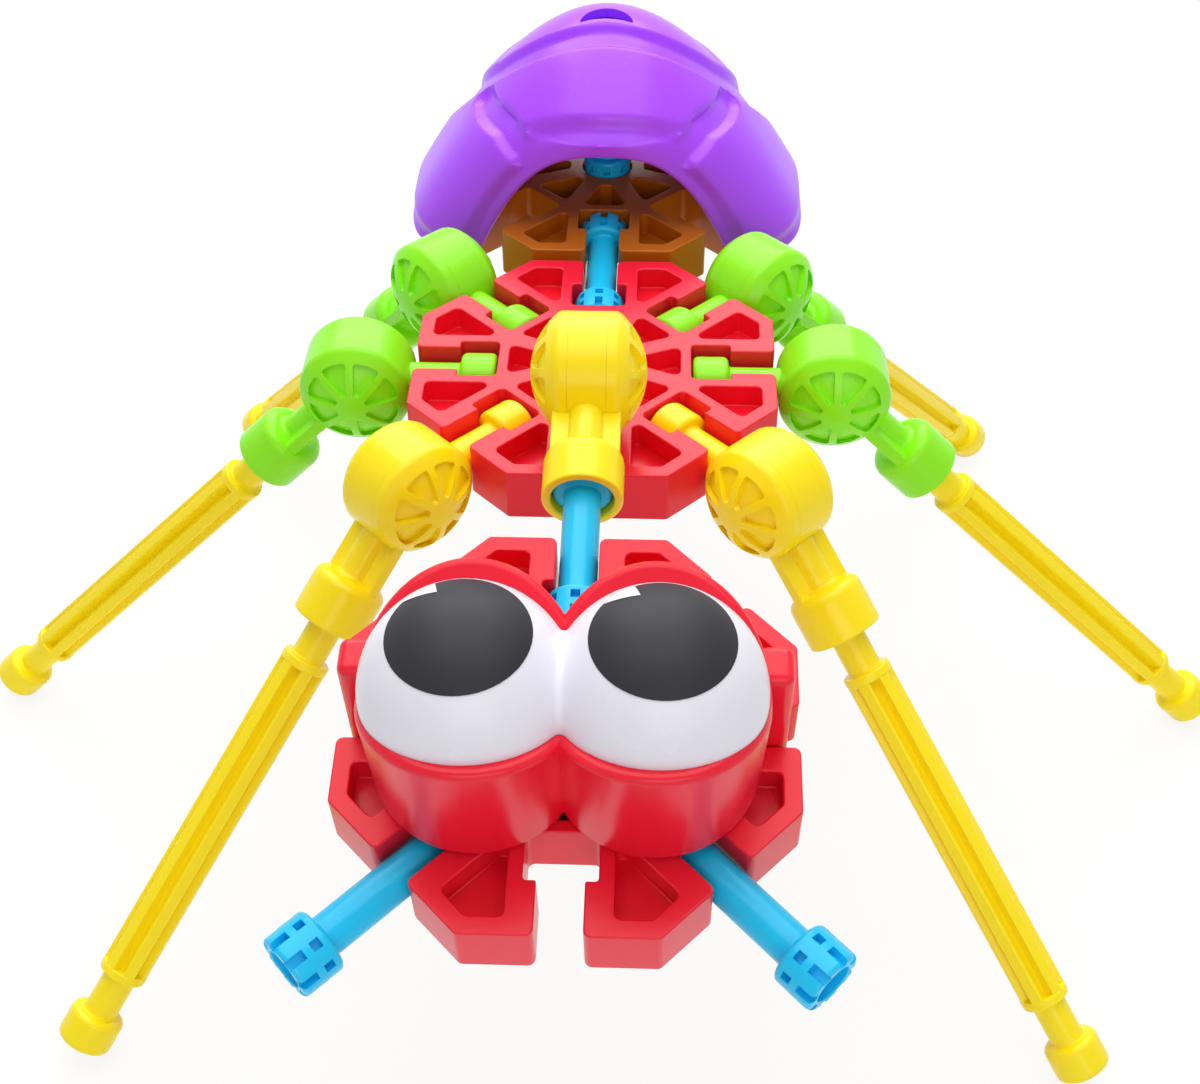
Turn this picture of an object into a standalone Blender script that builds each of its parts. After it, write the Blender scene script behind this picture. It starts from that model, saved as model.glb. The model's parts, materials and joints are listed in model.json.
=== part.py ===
"""Snap-together bug from a toddler's construction kit.

Three slotted octagon hubs (head, thorax and abdomen) are joined by knobbed rods.
Seven hinge joints carry six ribbed leg rods and the neck, a domed shell stands on
a peg over the abdomen, and a mask with two eyes sits on the head.
Units are metres, +Z is up and the head looks along -Y.
"""

import math

import bmesh
import bpy
from mathutils import Matrix, Vector

MM = 0.001

# Fit shared by every pair of pieces that seat or turn in each other
GAP = 0.3 * MM

# Knobbed rods
ROD_D = 6.6 * MM
ROD_SPAN = 29.6 * MM            # knob centre to knob centre of a short rod
KNOB_D = 10.6 * MM
KNOB_LEN = 7.2 * MM
KNOB_EDGE = 0.7 * MM

# Octagon hubs
HUB_SIDES = 8
HUB_FLATS = 72.0 * MM
HUB_THICK = 10.7 * MM
SLOT_SEAT = 23.2 * MM           # hub centre to the centre of a seated knob
RIM_WALL = 3.0 * MM             # between an outer pocket and the hub's flats
SIDE_WALL = 2.4 * MM            # between an outer pocket and a slot
END_WALL = 2.2 * MM             # between an inner pocket and a slot's end
SPOKE_WALL = 4.2 * MM           # between two inner pockets
BOSS_WALL = 3.0 * MM            # round the centre socket
POCKET_WEB = 1.3 * MM           # floor shared by the pockets of the two faces
CENTRE_WEB = 2.6 * MM           # floor shared by the two centre sockets

# Hinge joints
DRUM_R = 11.2 * MM
DRUM_LEN = 21.6 * MM
DRUM_BAND = 10.8 * MM           # plain cylinder between the two domes
DRUM_CLEAR = 0.6 * MM           # drum to the hub's flat
DISC_THICK = 6.8 * MM           # the tab's disc between the two cheeks
PIN_D = 5.0 * MM
PIN_LEN = 15.0 * MM
RIB_D = 7.2 * MM
FLANGE_W = 11.0 * MM
FLANGE_T = 3.2 * MM
CUP_REACH = 30.4 * MM           # hinge axis to the mouth of the cup
CUP_RECESS = 1.2 * MM           # knob's shoulder inside the mouth
CUP_WALL = 2.1 * MM
CUP_BASE = 1.4 * MM
CUP_EDGE = 1.2 * MM

# Leg rods
LEG_LEN = 105.4 * MM
LEG_SHAFT = 8.9 * MM            # plain stretch between a knob and a collar
LEG_RIB_D = 9.4 * MM
LEG_RIB_T = 2.0 * MM
LEG_RIB_SET = 0.2 * MM          # ribs stay this far inside the collars
LEG_CORE_D = 5.4 * MM
COLLAR_LEN = 2.0 * MM
LEG_DROP = math.radians(45.0)

# Neck and head
NECK_CLEAR = 2.85 * MM          # drum to the top of the thorax
NECK_PITCH = math.radians(11.2)

# Eyes and mask, on the head hub
EYE_R = 15.9 * MM
EYE_SIDE = 14.2 * MM            # middle of the head to the middle of an eye
EYE_AHEAD = 7.0 * MM
EYE_LIFT = 25.4 * MM            # hub's middle plane to the middle of an eye
PUPIL_R = 10.8 * MM
PUPIL_TILT = math.radians(4.6)
EYE_WALL = 2.0 * MM             # the white eyes are hollow underneath
MASK_WALL = 1.5 * MM
LID_LIFT = 24.6 * MM            # hub's middle plane to the line where the two lids meet
LID_FRONT = math.radians(17.0)  # rise of the lower lid towards the front
LID_BACK = math.radians(36.5)   # rise of the upper lid towards the back
STRAP_OUT = 34.0 * MM           # middle of the head to a strap's outer face
STRAP_T = 5.6 * MM
STRAP_TOP = 24.0 * MM
STRAP_DIP = 4.0 * MM            # how far a strap's tongue enters its slot

# Shell over the abdomen
SHELL_HALF_X = 46.3 * MM
SHELL_HALF_Y = 30.0 * MM
SHELL_HEIGHT = 46.4 * MM
SHELL_RIM = -4.0 * MM           # rim from the hub's middle plane
SHELL_WALL = 2.0 * MM
SHELL_BULGE = 1.8               # power of the dome's profile
SHELL_SQUARE = 3.2              # power of the plan at the rim
SHELL_ROUND = 2.0               # power of the plan near the top, an ellipse
SHELL_EASE = 0.5                # power by which the plan squares up on its way down
SHELL_DEEP = 1.17               # the plan's half depth over its half width near the top
ARCH_HALF = 28.8 * MM
ARCH_HEIGHT = 27.3 * MM
ARCH_POWER = 2.55

# Facets round a turn and along a dome
ROD_STEPS = 12
CORNER_ARC = 2
DRUM_STEPS = 16
DRUM_ARC = 3
EYE_STEPS = 20
EYE_ARC = 6
HOLLOW_ARC = 3
PUPIL_ARC = 3
SHELL_STEPS = 32
SHELL_LEVELS = 4                # above and below the level where the plan stops widening
HOLLOW_LEVELS = 3
ARCH_STEPS = 16
WELD = 0.001 * MM               # points this close are one
FLAT_ANGLE = 0.0005             # faces turned less than this are one flat
SMOOTH_ANGLE = math.radians(35.0)

# Sizes that follow from the ones above
HUB_HALF = HUB_FLATS / 2
HUB_TOP = HUB_THICK / 2
SLOT_TURN = 2 * math.pi / HUB_SIDES
CHANNEL_HALF = ROD_D / 2 + GAP
SOCKET_R = KNOB_D / 2 + GAP
POCKET_IN = SLOT_SEAT - KNOB_LEN / 2 - GAP
POCKET_OUT = SLOT_SEAT + KNOB_LEN / 2 + GAP
SLOT_CORNER = KNOB_EDGE + GAP   # round of the inner corners of a slot's pocket
CUP_R = SOCKET_R + CUP_WALL
CUP_FLOOR = CUP_REACH - CUP_RECESS - KNOB_LEN - GAP
CUP_SEAT = CUP_FLOOR + GAP + KNOB_LEN / 2
TAB_LEN = HUB_HALF + DRUM_CLEAR + DRUM_R - SLOT_SEAT
NECK_RISE = HUB_TOP + NECK_CLEAR + DRUM_R
ABDOMEN_Y = 2 * SLOT_SEAT + ROD_SPAN
HEAD_REACH = CUP_SEAT + ROD_SPAN + SLOT_SEAT
PEG_FOOT = CENTRE_WEB / 2 + GAP + KNOB_LEN / 2
PEG_TOP = PEG_FOOT + ROD_SPAN + KNOB_LEN / 2
MASK_BASE = HUB_TOP + GAP
MASK_R = EYE_R + GAP + MASK_WALL
SHELL_BREAK = SHELL_HALF_Y / SHELL_DEEP  # half width where the plan stops growing deeper
OVERCUT = 20.0 * MM             # how far a cutter runs past what it cuts
BURY = 2.0 * MM                 # how far a joined shape starts inside the other

RED = (0.80, 0.010, 0.020)
ORANGE = (0.85, 0.20, 0.010)
PURPLE = (0.30, 0.055, 0.80)
GREEN = (0.22, 0.72, 0.020)
YELLOW = (0.98, 0.68, 0.010)
BLUE = (0.025, 0.38, 0.85)
WHITE = (0.90, 0.90, 0.92)
BLACK = (0.012, 0.012, 0.013)
STEEL = (0.55, 0.56, 0.58)

KIT_NAME = "snap_kit_bug"

# Slots are numbered round a hub, from the one on +X towards the tail
# Leg name, its slot on the thorax, joint colour
LEGS = (
    ("front_left", 5, YELLOW),
    ("front_right", 7, YELLOW),
    ("middle_left", 4, GREEN),
    ("middle_right", 0, GREEN),
    ("rear_left", 3, GREEN),
    ("rear_right", 1, GREEN),
)

# Rod name, its slot on the head
MANDIBLES = (("mandible_left", 5), ("mandible_right", 7))


def clear_scene():
    """Remove whatever the file holds."""
    for obj in list(bpy.data.objects):
        bpy.data.objects.remove(obj)


def linked(mesh):
    """A scratch object that shows a mesh."""
    obj = bpy.data.objects.new("scratch", mesh)
    bpy.context.scene.collection.objects.link(obj)
    return obj


def baked(obj):
    """The object's evaluated mesh, welded and without edges across flats, with the object removed."""
    graph = bpy.context.evaluated_depsgraph_get()
    mesh = bpy.data.meshes.new_from_object(obj.evaluated_get(graph))
    bpy.data.objects.remove(obj)
    bm = bmesh.new()
    bm.from_mesh(mesh)
    bmesh.ops.remove_doubles(bm, verts=bm.verts, dist=WELD)
    bmesh.ops.dissolve_limit(bm, angle_limit=FLAT_ANGLE, verts=bm.verts, edges=bm.edges)
    bm.to_mesh(mesh)
    bm.free()
    return mesh


def moved(mesh, matrix):
    """The same mesh after a transform."""
    mesh.transform(matrix)
    return mesh


def shift(x=0.0, y=0.0, z=0.0):
    return Matrix.Translation((x, y, z))


def turn(angle, axis):
    return Matrix.Rotation(angle, 4, axis)


def frame(origin, x_axis, y_axis):
    """Placement whose local X and Y point along two square directions."""
    x_axis = Vector(x_axis).normalized()
    y_axis = Vector(y_axis).normalized()
    z_axis = x_axis.cross(y_axis)
    axes = Matrix((x_axis, y_axis, z_axis)).transposed()
    return Matrix.Translation(Vector(origin)) @ axes.to_4x4()


def box(low, high):
    """A box between two corners."""
    bm = bmesh.new()
    bmesh.ops.create_cube(bm, size=1.0)
    size = [b - a for a, b in zip(low, high)]
    middle = [(a + b) / 2 for a, b in zip(low, high)]
    bmesh.ops.scale(bm, vec=size, verts=bm.verts)
    bmesh.ops.translate(bm, vec=middle, verts=bm.verts)
    mesh = bpy.data.meshes.new("box")
    bm.to_mesh(mesh)
    bm.free()
    return mesh


def cylinder(radius, low, high, steps):
    """A cylinder along Z between two heights."""
    bm = bmesh.new()
    bmesh.ops.create_cone(bm, cap_ends=True, segments=steps, radius1=radius, radius2=radius,
                          depth=high - low)
    bmesh.ops.translate(bm, vec=(0, 0, (low + high) / 2), verts=bm.verts)
    mesh = bpy.data.meshes.new("cylinder")
    bm.to_mesh(mesh)
    bm.free()
    return mesh


def turned(profile, steps):
    """A profile of (radius, height) points, top to bottom, turned about Z."""
    bm = bmesh.new()
    verts = [bm.verts.new((radius, 0, height)) for radius, height in profile]
    for a, b in zip(verts, verts[1:]):
        bm.edges.new((a, b))
    mesh = bpy.data.meshes.new("profile")
    bm.to_mesh(mesh)
    bm.free()
    obj = linked(mesh)
    screw = obj.modifiers.new("turn", "SCREW")
    screw.steps = steps
    screw.render_steps = steps
    screw.use_merge_vertices = True
    screw.merge_threshold = WELD
    return baked(obj)


def plate(points, low, high):
    """A flat outline in X and Y, filled between two heights."""
    curve = bpy.data.curves.new("outline", "CURVE")
    curve.dimensions = "2D"
    curve.fill_mode = "BOTH"
    curve.extrude = (high - low) / 2
    spline = curve.splines.new("POLY")
    spline.points.add(len(points) - 1)
    for point, (x, y) in zip(spline.points, points):
        point.co = (x, y, 0, 1)
    spline.use_cyclic_u = True
    mesh = baked(linked(curve))
    return moved(mesh, shift(z=(low + high) / 2))


def gathered(meshes):
    """Separate meshes held in one, to cut with in one go."""
    bm = bmesh.new()
    for mesh in meshes:
        bm.from_mesh(mesh)
    joined = bpy.data.meshes.new("gathered")
    bm.to_mesh(joined)
    bm.free()
    return joined


def combined(mesh, steps):
    """A mesh after a row of Boolean steps, each an operation and a mesh."""
    obj = linked(mesh)
    tools = []
    for operation, tool_mesh in steps:
        tool = linked(tool_mesh)
        tools.append(tool)
        modifier = obj.modifiers.new(operation.lower(), "BOOLEAN")
        modifier.operation = operation
        modifier.object = tool
    bpy.context.view_layer.update()
    result = baked(obj)
    for tool in tools:
        bpy.data.objects.remove(tool)
    return result


def plastic(name, colour, roughness=0.25, metallic=0.0):
    """A moulded plastic or metal for one piece."""
    material = bpy.data.materials.new(name)
    material.use_nodes = True
    shader = material.node_tree.nodes["Principled BSDF"]
    shader.inputs["Base Color"].default_value = (*colour, 1.0)
    shader.inputs["Roughness"].default_value = roughness
    shader.inputs["Metallic"].default_value = metallic
    return material


def add_piece(name, mesh, matrix, colour, **finish):
    """One named piece of the bug, with a mesh and a material of its own."""
    own = mesh.copy()
    own.name = name
    own.shade_smooth()
    own.set_sharp_from_angle(angle=SMOOTH_ANGLE)
    own.materials.append(plastic(name, colour, **finish))
    obj = bpy.data.objects.new(name, own)
    obj.matrix_world = matrix
    bpy.data.collections[KIT_NAME].objects.link(obj)


def knob_profile(end, length, edge):
    """Outer side of a knob whose far end is at a height, from that end down."""
    radius = KNOB_D / 2
    return [
        (0.0, end),
        (radius - edge, end),
        (radius, end - edge),
        (radius, end - length + edge),
        (radius - edge, end - length),
    ]


def mirrored_profile(half):
    """A profile for the upper half, carried on down the lower half."""
    return half + [(radius, -height) for radius, height in reversed(half)]


def short_rod():
    """Rod with a knob at each end, from one knob's middle along +X to the other's."""
    half = knob_profile(ROD_SPAN / 2 + KNOB_LEN / 2, KNOB_LEN, KNOB_EDGE)
    half.append((ROD_D / 2, ROD_SPAN / 2 - KNOB_LEN / 2))
    rod = turned(mirrored_profile(half), ROD_STEPS)
    return moved(rod, shift(x=ROD_SPAN / 2) @ turn(math.pi / 2, "Y"))


def leg_rod():
    """Long rod with a ribbed middle, along +X from its upper knob's end."""
    knob_in = LEG_LEN / 2 - KNOB_LEN
    collar = knob_in - LEG_SHAFT
    half = knob_profile(LEG_LEN / 2, KNOB_LEN, KNOB_EDGE)
    half += [
        (ROD_D / 2, knob_in),
        (ROD_D / 2, collar),
        (LEG_RIB_D / 2, collar),
        (LEG_RIB_D / 2, collar - COLLAR_LEN),
        (LEG_CORE_D / 2, collar - COLLAR_LEN),
    ]
    rod = turned(mirrored_profile(half), ROD_STEPS)
    rib_reach = LEG_RIB_D / 2 * math.cos(math.pi / ROD_STEPS) - LEG_RIB_SET
    rib_end = collar - COLLAR_LEN / 2
    for across in (0.0, math.pi / 2):
        rib = box((-rib_reach, -LEG_RIB_T / 2, -rib_end), (rib_reach, LEG_RIB_T / 2, rib_end))
        rib.transform(turn(across + math.pi / 4, "Z"))
        rod = combined(rod, [("UNION", rib)])
    return moved(rod, shift(x=LEG_LEN / 2) @ turn(math.pi / 2, "Y"))


def slot_points(angle):
    """Outline of one slot and the hub's corner after it, anticlockwise."""
    local = [(HUB_HALF, -CHANNEL_HALF), (POCKET_OUT, -CHANNEL_HALF), (POCKET_OUT, -SOCKET_R)]
    for k in range(CORNER_ARC + 1):
        a = math.pi / 2 * k / CORNER_ARC
        inward = SLOT_CORNER * (1 - math.sin(a))
        local.append((POCKET_IN + inward, -SOCKET_R + SLOT_CORNER * (1 - math.cos(a))))
    local += [(u, -v) for u, v in reversed(local)]
    local.append((HUB_HALF, HUB_HALF * math.tan(SLOT_TURN / 2)))
    c, s = math.cos(angle), math.sin(angle)
    return [(u * c - v * s, u * s + v * c) for u, v in local]


def outer_pocket():
    """Kite between two slots, on the line midway between them."""
    side = SOCKET_R + SIDE_WALL
    flat = HUB_HALF - RIM_WALL
    half = SLOT_TURN / 2
    corner_r = math.hypot(flat, side)
    corner_a = half - math.atan2(side, flat)
    corner = (corner_r * math.cos(corner_a), corner_r * math.sin(corner_a))
    nose = (side / math.sin(half), 0.0)
    tip = (flat / math.cos(half), 0.0)
    return [nose, (corner[0], -corner[1]), tip, corner]


def inner_pocket():
    """Trapezium between the centre boss and a slot's end."""
    near = SOCKET_R + BOSS_WALL
    far = POCKET_IN - END_WALL
    half = SLOT_TURN / 2
    spoke = SPOKE_WALL / 2 / math.cos(half)
    low = near * math.tan(half) - spoke
    high = far * math.tan(half) - spoke
    return [(near, -low), (far, -high), (far, high), (near, low)]


def hub():
    """Octagon with eight keyhole slots, pockets on both faces and a centre socket."""
    outline = []
    for k in range(HUB_SIDES):
        outline += slot_points(k * SLOT_TURN)
    body = plate(outline, -HUB_TOP, HUB_TOP)
    pockets = []
    for k in range(HUB_SIDES):
        for points, angle in ((outer_pocket(), (k + 0.5) * SLOT_TURN), (inner_pocket(), k * SLOT_TURN)):
            above = plate(points, POCKET_WEB / 2, HUB_TOP + OVERCUT)
            below = plate(points, -HUB_TOP - OVERCUT, -POCKET_WEB / 2)
            pockets += [moved(cutter, turn(angle, "Z")) for cutter in (above, below)]
    socket_above = cylinder(SOCKET_R, CENTRE_WEB / 2, HUB_TOP + OVERCUT, ROD_STEPS)
    socket_below = cylinder(SOCKET_R, -HUB_TOP - OVERCUT, -CENTRE_WEB / 2, ROD_STEPS)
    pockets += [socket_above, socket_below]
    bore = cylinder(CHANNEL_HALF, -HUB_TOP - OVERCUT, HUB_TOP + OVERCUT, ROD_STEPS)
    return combined(body, [("DIFFERENCE", gathered(pockets)), ("DIFFERENCE", bore)])


def dome_arc(radius, start, end, steps):
    """Points on a ball's outline between two angles from its top."""
    angles = [start + (end - start) * k / steps for k in range(steps + 1)]
    return [(radius * math.sin(a), radius * math.cos(a)) for a in angles]


def along_hinge(mesh):
    """Turn a shape made about Z so that it lies along the hinge axis, local Y."""
    return moved(mesh, turn(-math.pi / 2, "X"))


def along_arm(mesh):
    """Turn a shape made about Z so that it points along local X."""
    return moved(mesh, turn(math.pi / 2, "Y"))


def drum():
    """Barrel of the joint, a plain band with a shallow dome at each end."""
    rise = (DRUM_LEN - DRUM_BAND) / 2
    sphere_r = (DRUM_R ** 2 + rise ** 2) / (2 * rise)
    widest = math.asin(DRUM_R / sphere_r)
    sink = sphere_r - DRUM_LEN / 2
    half = [(radius, height - sink) for radius, height in dome_arc(sphere_r, 0.0, widest, DRUM_ARC)]
    return along_hinge(turned(mirrored_profile(half), DRUM_STEPS))


def joint_arm():
    """Two cheeks of the drum with the rib, flange and cup that they carry."""
    stem = along_arm(turned([
        (0.0, CUP_FLOOR),
        (SOCKET_R, CUP_FLOOR),
        (SOCKET_R, CUP_REACH),
        (CUP_R - CUP_EDGE / 2, CUP_REACH),
        (CUP_R, CUP_REACH - CUP_EDGE / 2),
        (CUP_R, CUP_FLOOR - CUP_BASE + CUP_EDGE),
        (CUP_R - CUP_EDGE, CUP_FLOOR - CUP_BASE),
        (RIB_D / 2, CUP_FLOOR - CUP_BASE),
        (RIB_D / 2, DRUM_R - BURY),
        (0.0, DRUM_R - BURY),
    ], ROD_STEPS))
    flange = box((DRUM_R - 2 * BURY, -FLANGE_W / 2, -FLANGE_T / 2),
                 (CUP_FLOOR - CUP_BASE / 2, FLANGE_W / 2, FLANGE_T / 2))
    disc_room = along_hinge(cylinder(DRUM_R + GAP, -DISC_THICK / 2 - GAP, DISC_THICK / 2 + GAP,
                                     DRUM_STEPS))
    pin_room = along_hinge(cylinder(PIN_D / 2 + GAP, -PIN_LEN / 2 - GAP, PIN_LEN / 2 + GAP,
                                    ROD_STEPS))
    return combined(drum(), [
        ("UNION", stem),
        ("UNION", flange),
        ("DIFFERENCE", disc_room),
        ("DIFFERENCE", pin_room),
    ])


def joint_tab(length, trimmed):
    """Disc between the cheeks with the knobbed shank that snaps into a slot."""
    profile = knob_profile(length + KNOB_LEN / 2, KNOB_LEN, KNOB_EDGE)
    start = PIN_D / 2 + GAP + BURY
    profile += [(ROD_D / 2, length - KNOB_LEN / 2), (ROD_D / 2, start), (0.0, start)]
    shank = moved(turned(profile, ROD_STEPS), turn(-math.pi / 2, "Y"))
    if trimmed:
        reach = length + KNOB_LEN
        keep = box((-reach, -KNOB_D, -KNOB_LEN / 2), (reach, KNOB_D, KNOB_LEN / 2))
        shank = combined(shank, [("INTERSECT", keep)])
    disc = along_hinge(cylinder(DRUM_R, -DISC_THICK / 2, DISC_THICK / 2, DRUM_STEPS))
    bore = along_hinge(cylinder(PIN_D / 2 + GAP, -DRUM_LEN, DRUM_LEN, ROD_STEPS))
    return combined(disc, [("UNION", shank), ("DIFFERENCE", bore)])


def joint_pin():
    """Plain pin along the hinge axis."""
    return along_hinge(cylinder(PIN_D / 2, -PIN_LEN / 2, PIN_LEN / 2, ROD_STEPS))


def shell_ring(half_x, half_y, height, power):
    """Points of one level of the shell."""
    points = []
    for k in range(SHELL_STEPS):
        a = 2 * math.pi * k / SHELL_STEPS
        c, s = math.cos(a), math.sin(a)
        x = half_x * math.copysign(abs(c) ** (2 / power), c)
        y = half_y * math.copysign(abs(s) ** (2 / power), s)
        points.append((x, y, height))
    return points


def shell_level(t, inset):
    """A level of the dome at a share of its reach, moved in by a wall."""
    slope = SHELL_HEIGHT * SHELL_BULGE * t ** (SHELL_BULGE - 1) / SHELL_HALF_X
    out, up = slope / math.hypot(slope, 1), 1 / math.hypot(slope, 1)
    half_x = SHELL_HALF_X * t
    half_y = min(half_x * SHELL_DEEP, SHELL_HALF_Y)
    flat = half_x > SHELL_BREAK
    height = SHELL_RIM + SHELL_HEIGHT * (1 - t ** SHELL_BULGE) - inset * up
    squared = max(0.0, (half_x - SHELL_BREAK) / (SHELL_HALF_X - SHELL_BREAK))
    power = SHELL_ROUND + (SHELL_SQUARE - SHELL_ROUND) * squared ** SHELL_EASE
    return shell_ring(half_x - inset * out, half_y - inset * (1.0 if flat else out), height, power)


def shell_body():
    """Domed cover with a socket tube under its top and an arch front and back."""
    tube_r = SOCKET_R + CUP_WALL
    tube_low = PEG_TOP - KNOB_LEN
    top_t = SOCKET_R / SHELL_HALF_X
    tube_t = (tube_r + SHELL_WALL) / SHELL_HALF_X
    break_t = SHELL_BREAK / SHELL_HALF_X
    upper = [top_t + (break_t - top_t) * k / SHELL_LEVELS for k in range(SHELL_LEVELS + 1)]
    lower = [break_t + (1 - break_t) * k / SHELL_LEVELS for k in range(1, SHELL_LEVELS + 1)]
    inner = [tube_t + (break_t - tube_t) * k / HOLLOW_LEVELS for k in range(HOLLOW_LEVELS + 1)]
    rings = [shell_level(t, 0.0) for t in upper + lower]
    rings.append(shell_ring(SHELL_HALF_X - SHELL_WALL, SHELL_HALF_Y - SHELL_WALL, SHELL_RIM, SHELL_SQUARE))
    rings += [shell_level(t, SHELL_WALL) for t in reversed(inner + lower[:-1])]
    join_z = rings[-1][0][2]
    rings.append(shell_ring(tube_r, tube_r, join_z, SHELL_ROUND))
    rings.append(shell_ring(tube_r, tube_r, tube_low, SHELL_ROUND))
    rings.append(shell_ring(SOCKET_R, SOCKET_R, tube_low, SHELL_ROUND))
    bm = bmesh.new()
    loops = [[bm.verts.new(point) for point in ring] for ring in rings]
    for ring, following in zip(loops, loops[1:] + loops[:1]):
        for k in range(SHELL_STEPS):
            n = (k + 1) % SHELL_STEPS
            bm.faces.new((ring[k], following[k], following[n], ring[n]))
    bmesh.ops.recalc_face_normals(bm, faces=bm.faces)
    mesh = bpy.data.meshes.new("shell")
    bm.to_mesh(mesh)
    bm.free()
    return combined(mesh, [("DIFFERENCE", arch_cutter())])


def arch_cutter():
    """Arched prism that runs right through the shell from front to back."""
    outline = []
    for k in range(ARCH_STEPS + 1):
        x = ARCH_HALF * (2 * k / ARCH_STEPS - 1)
        outline.append((x, SHELL_RIM + ARCH_HEIGHT * (1 - abs(x / ARCH_HALF) ** ARCH_POWER)))
    outline += [(ARCH_HALF, SHELL_RIM - OVERCUT), (-ARCH_HALF, SHELL_RIM - OVERCUT)]
    prism = plate(outline, -SHELL_HALF_Y - OVERCUT, SHELL_HALF_Y + OVERCUT)
    return moved(prism, turn(math.pi / 2, "X"))


def eye_places():
    """Middle of each eye in the head's own frame, left then right."""
    return [Vector((side * EYE_SIDE, -EYE_AHEAD, EYE_LIFT)) for side in (-1, 1)]


def above_lids():
    """Prism over the two lids, which meet in a line beside the middles of the eyes."""
    reach = MASK_R + OVERCUT
    outline = [
        (-EYE_AHEAD, LID_LIFT),
        (-EYE_AHEAD + reach, LID_LIFT + reach * math.tan(LID_BACK)),
        (-EYE_AHEAD + reach, LID_LIFT + 2 * reach),
        (-EYE_AHEAD - reach, LID_LIFT + 2 * reach),
        (-EYE_AHEAD - reach, LID_LIFT + reach * math.tan(LID_FRONT)),
    ]
    prism = plate(outline, -STRAP_OUT - OVERCUT, STRAP_OUT + OVERCUT)
    return moved(prism, turn(math.pi / 2, "Z") @ turn(math.pi / 2, "X"))


def eye_mask():
    """Figure-eight turret, open below, whose two sloping lids close round the eyes.

    A strap on each side reaches down into a slot of the head.
    """
    top = EYE_LIFT + EYE_R
    room = dome_arc(EYE_R + GAP, 0.0, math.pi / 2, EYE_ARC)
    room += [(EYE_R + GAP, -EYE_LIFT), (0.0, -EYE_LIFT)]
    solids = []
    rooms = []
    for side, eye in zip((-1, 1), eye_places()):
        place = shift(x=side * EYE_SIDE, y=-EYE_AHEAD)
        solids.append(moved(cylinder(MASK_R, MASK_BASE, top, EYE_STEPS), place))
        rooms.append(moved(turned(room, EYE_STEPS), Matrix.Translation(eye)))
        inner, outer = sorted((side * EYE_SIDE, side * STRAP_OUT))
        solids.append(box((inner, -ROD_D / 2, MASK_BASE), (outer, ROD_D / 2, STRAP_TOP)))
        inner, outer = sorted((side * (STRAP_OUT - STRAP_T), side * STRAP_OUT))
        solids.append(box((inner, -ROD_D / 2, HUB_TOP - STRAP_DIP), (outer, ROD_D / 2, MASK_BASE + BURY)))
    steps = [("UNION", solid) for solid in solids[1:]]
    steps += [("DIFFERENCE", room) for room in rooms]
    steps.append(("DIFFERENCE", above_lids()))
    return combined(solids[0], steps)


def pupil_depth():
    """Distance from the middle of an eye to the flat behind its pupil."""
    return math.sqrt(EYE_R ** 2 - PUPIL_R ** 2)


def eye_white():
    """Two hollow round-topped posts joined in the middle, with a flat for each pupil."""
    foot = MASK_BASE - EYE_LIFT
    flat = pupil_depth() - GAP
    profile = dome_arc(EYE_R, 0.0, math.pi / 2, EYE_ARC) + [(EYE_R, foot), (0.0, foot)]
    hollow_r = EYE_R - EYE_WALL
    ceiling = flat - EYE_WALL - PUPIL_R * math.sin(PUPIL_TILT)
    hollow = [(0.0, ceiling)] + dome_arc(hollow_r, math.acos(ceiling / hollow_r), math.pi / 2, HOLLOW_ARC)
    hollow += [(hollow_r, foot - OVERCUT), (0.0, foot - OVERCUT)]
    posts = []
    cuts = []
    for place in eye_places():
        middle = Matrix.Translation(place)
        posts.append(moved(turned(profile, EYE_STEPS), middle))
        above = box((-PUPIL_R, -PUPIL_R, flat), (PUPIL_R, PUPIL_R, flat + OVERCUT))
        cuts.append(moved(above, middle @ turn(-PUPIL_TILT, "X")))
        cuts.append(moved(turned(hollow, EYE_STEPS), middle))
    steps = [("UNION", posts[1])] + [("DIFFERENCE", cut) for cut in cuts]
    return combined(posts[0], steps)


def pupil():
    """Domed black cap, in the frame of the eye that it closes."""
    profile = dome_arc(EYE_R, 0.0, math.asin(PUPIL_R / EYE_R), PUPIL_ARC)
    profile.append((0.0, pupil_depth()))
    return moved(turned(profile, EYE_STEPS), turn(-PUPIL_TILT, "X"))


def ray(angle):
    """Unit vector in the hub's plane."""
    return Vector((math.cos(angle), math.sin(angle), 0.0))


def add_joint(name, tab_mesh, tab_place, arm_place, colour):
    """The three pieces of one hinge joint, with their origins on its axis."""
    add_piece(name + "_tab", tab_mesh, tab_place, colour)
    add_piece(name + "_arm", joint_arm(), arm_place, colour)
    add_piece(name + "_pin", joint_pin(), arm_place, STEEL, roughness=0.35, metallic=1.0)


def add_legs():
    """Six joints and leg rods round the thorax."""
    tab_mesh = joint_tab(TAB_LEN, trimmed=False)
    rod_mesh = moved(leg_rod(), shift(x=CUP_FLOOR + GAP))
    for name, slot, colour in LEGS:
        angle = slot * SLOT_TURN
        out, across = ray(angle), ray(angle + math.pi / 2)
        ball = out * (SLOT_SEAT + TAB_LEN)
        down = out * math.cos(LEG_DROP) - Vector((0, 0, math.sin(LEG_DROP)))
        arm_place = frame(ball, down, across)
        add_joint(name + "_hip", tab_mesh, frame(ball, out, across), arm_place, colour)
        add_piece(name + "_leg_rod", rod_mesh, arm_place, YELLOW)


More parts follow.
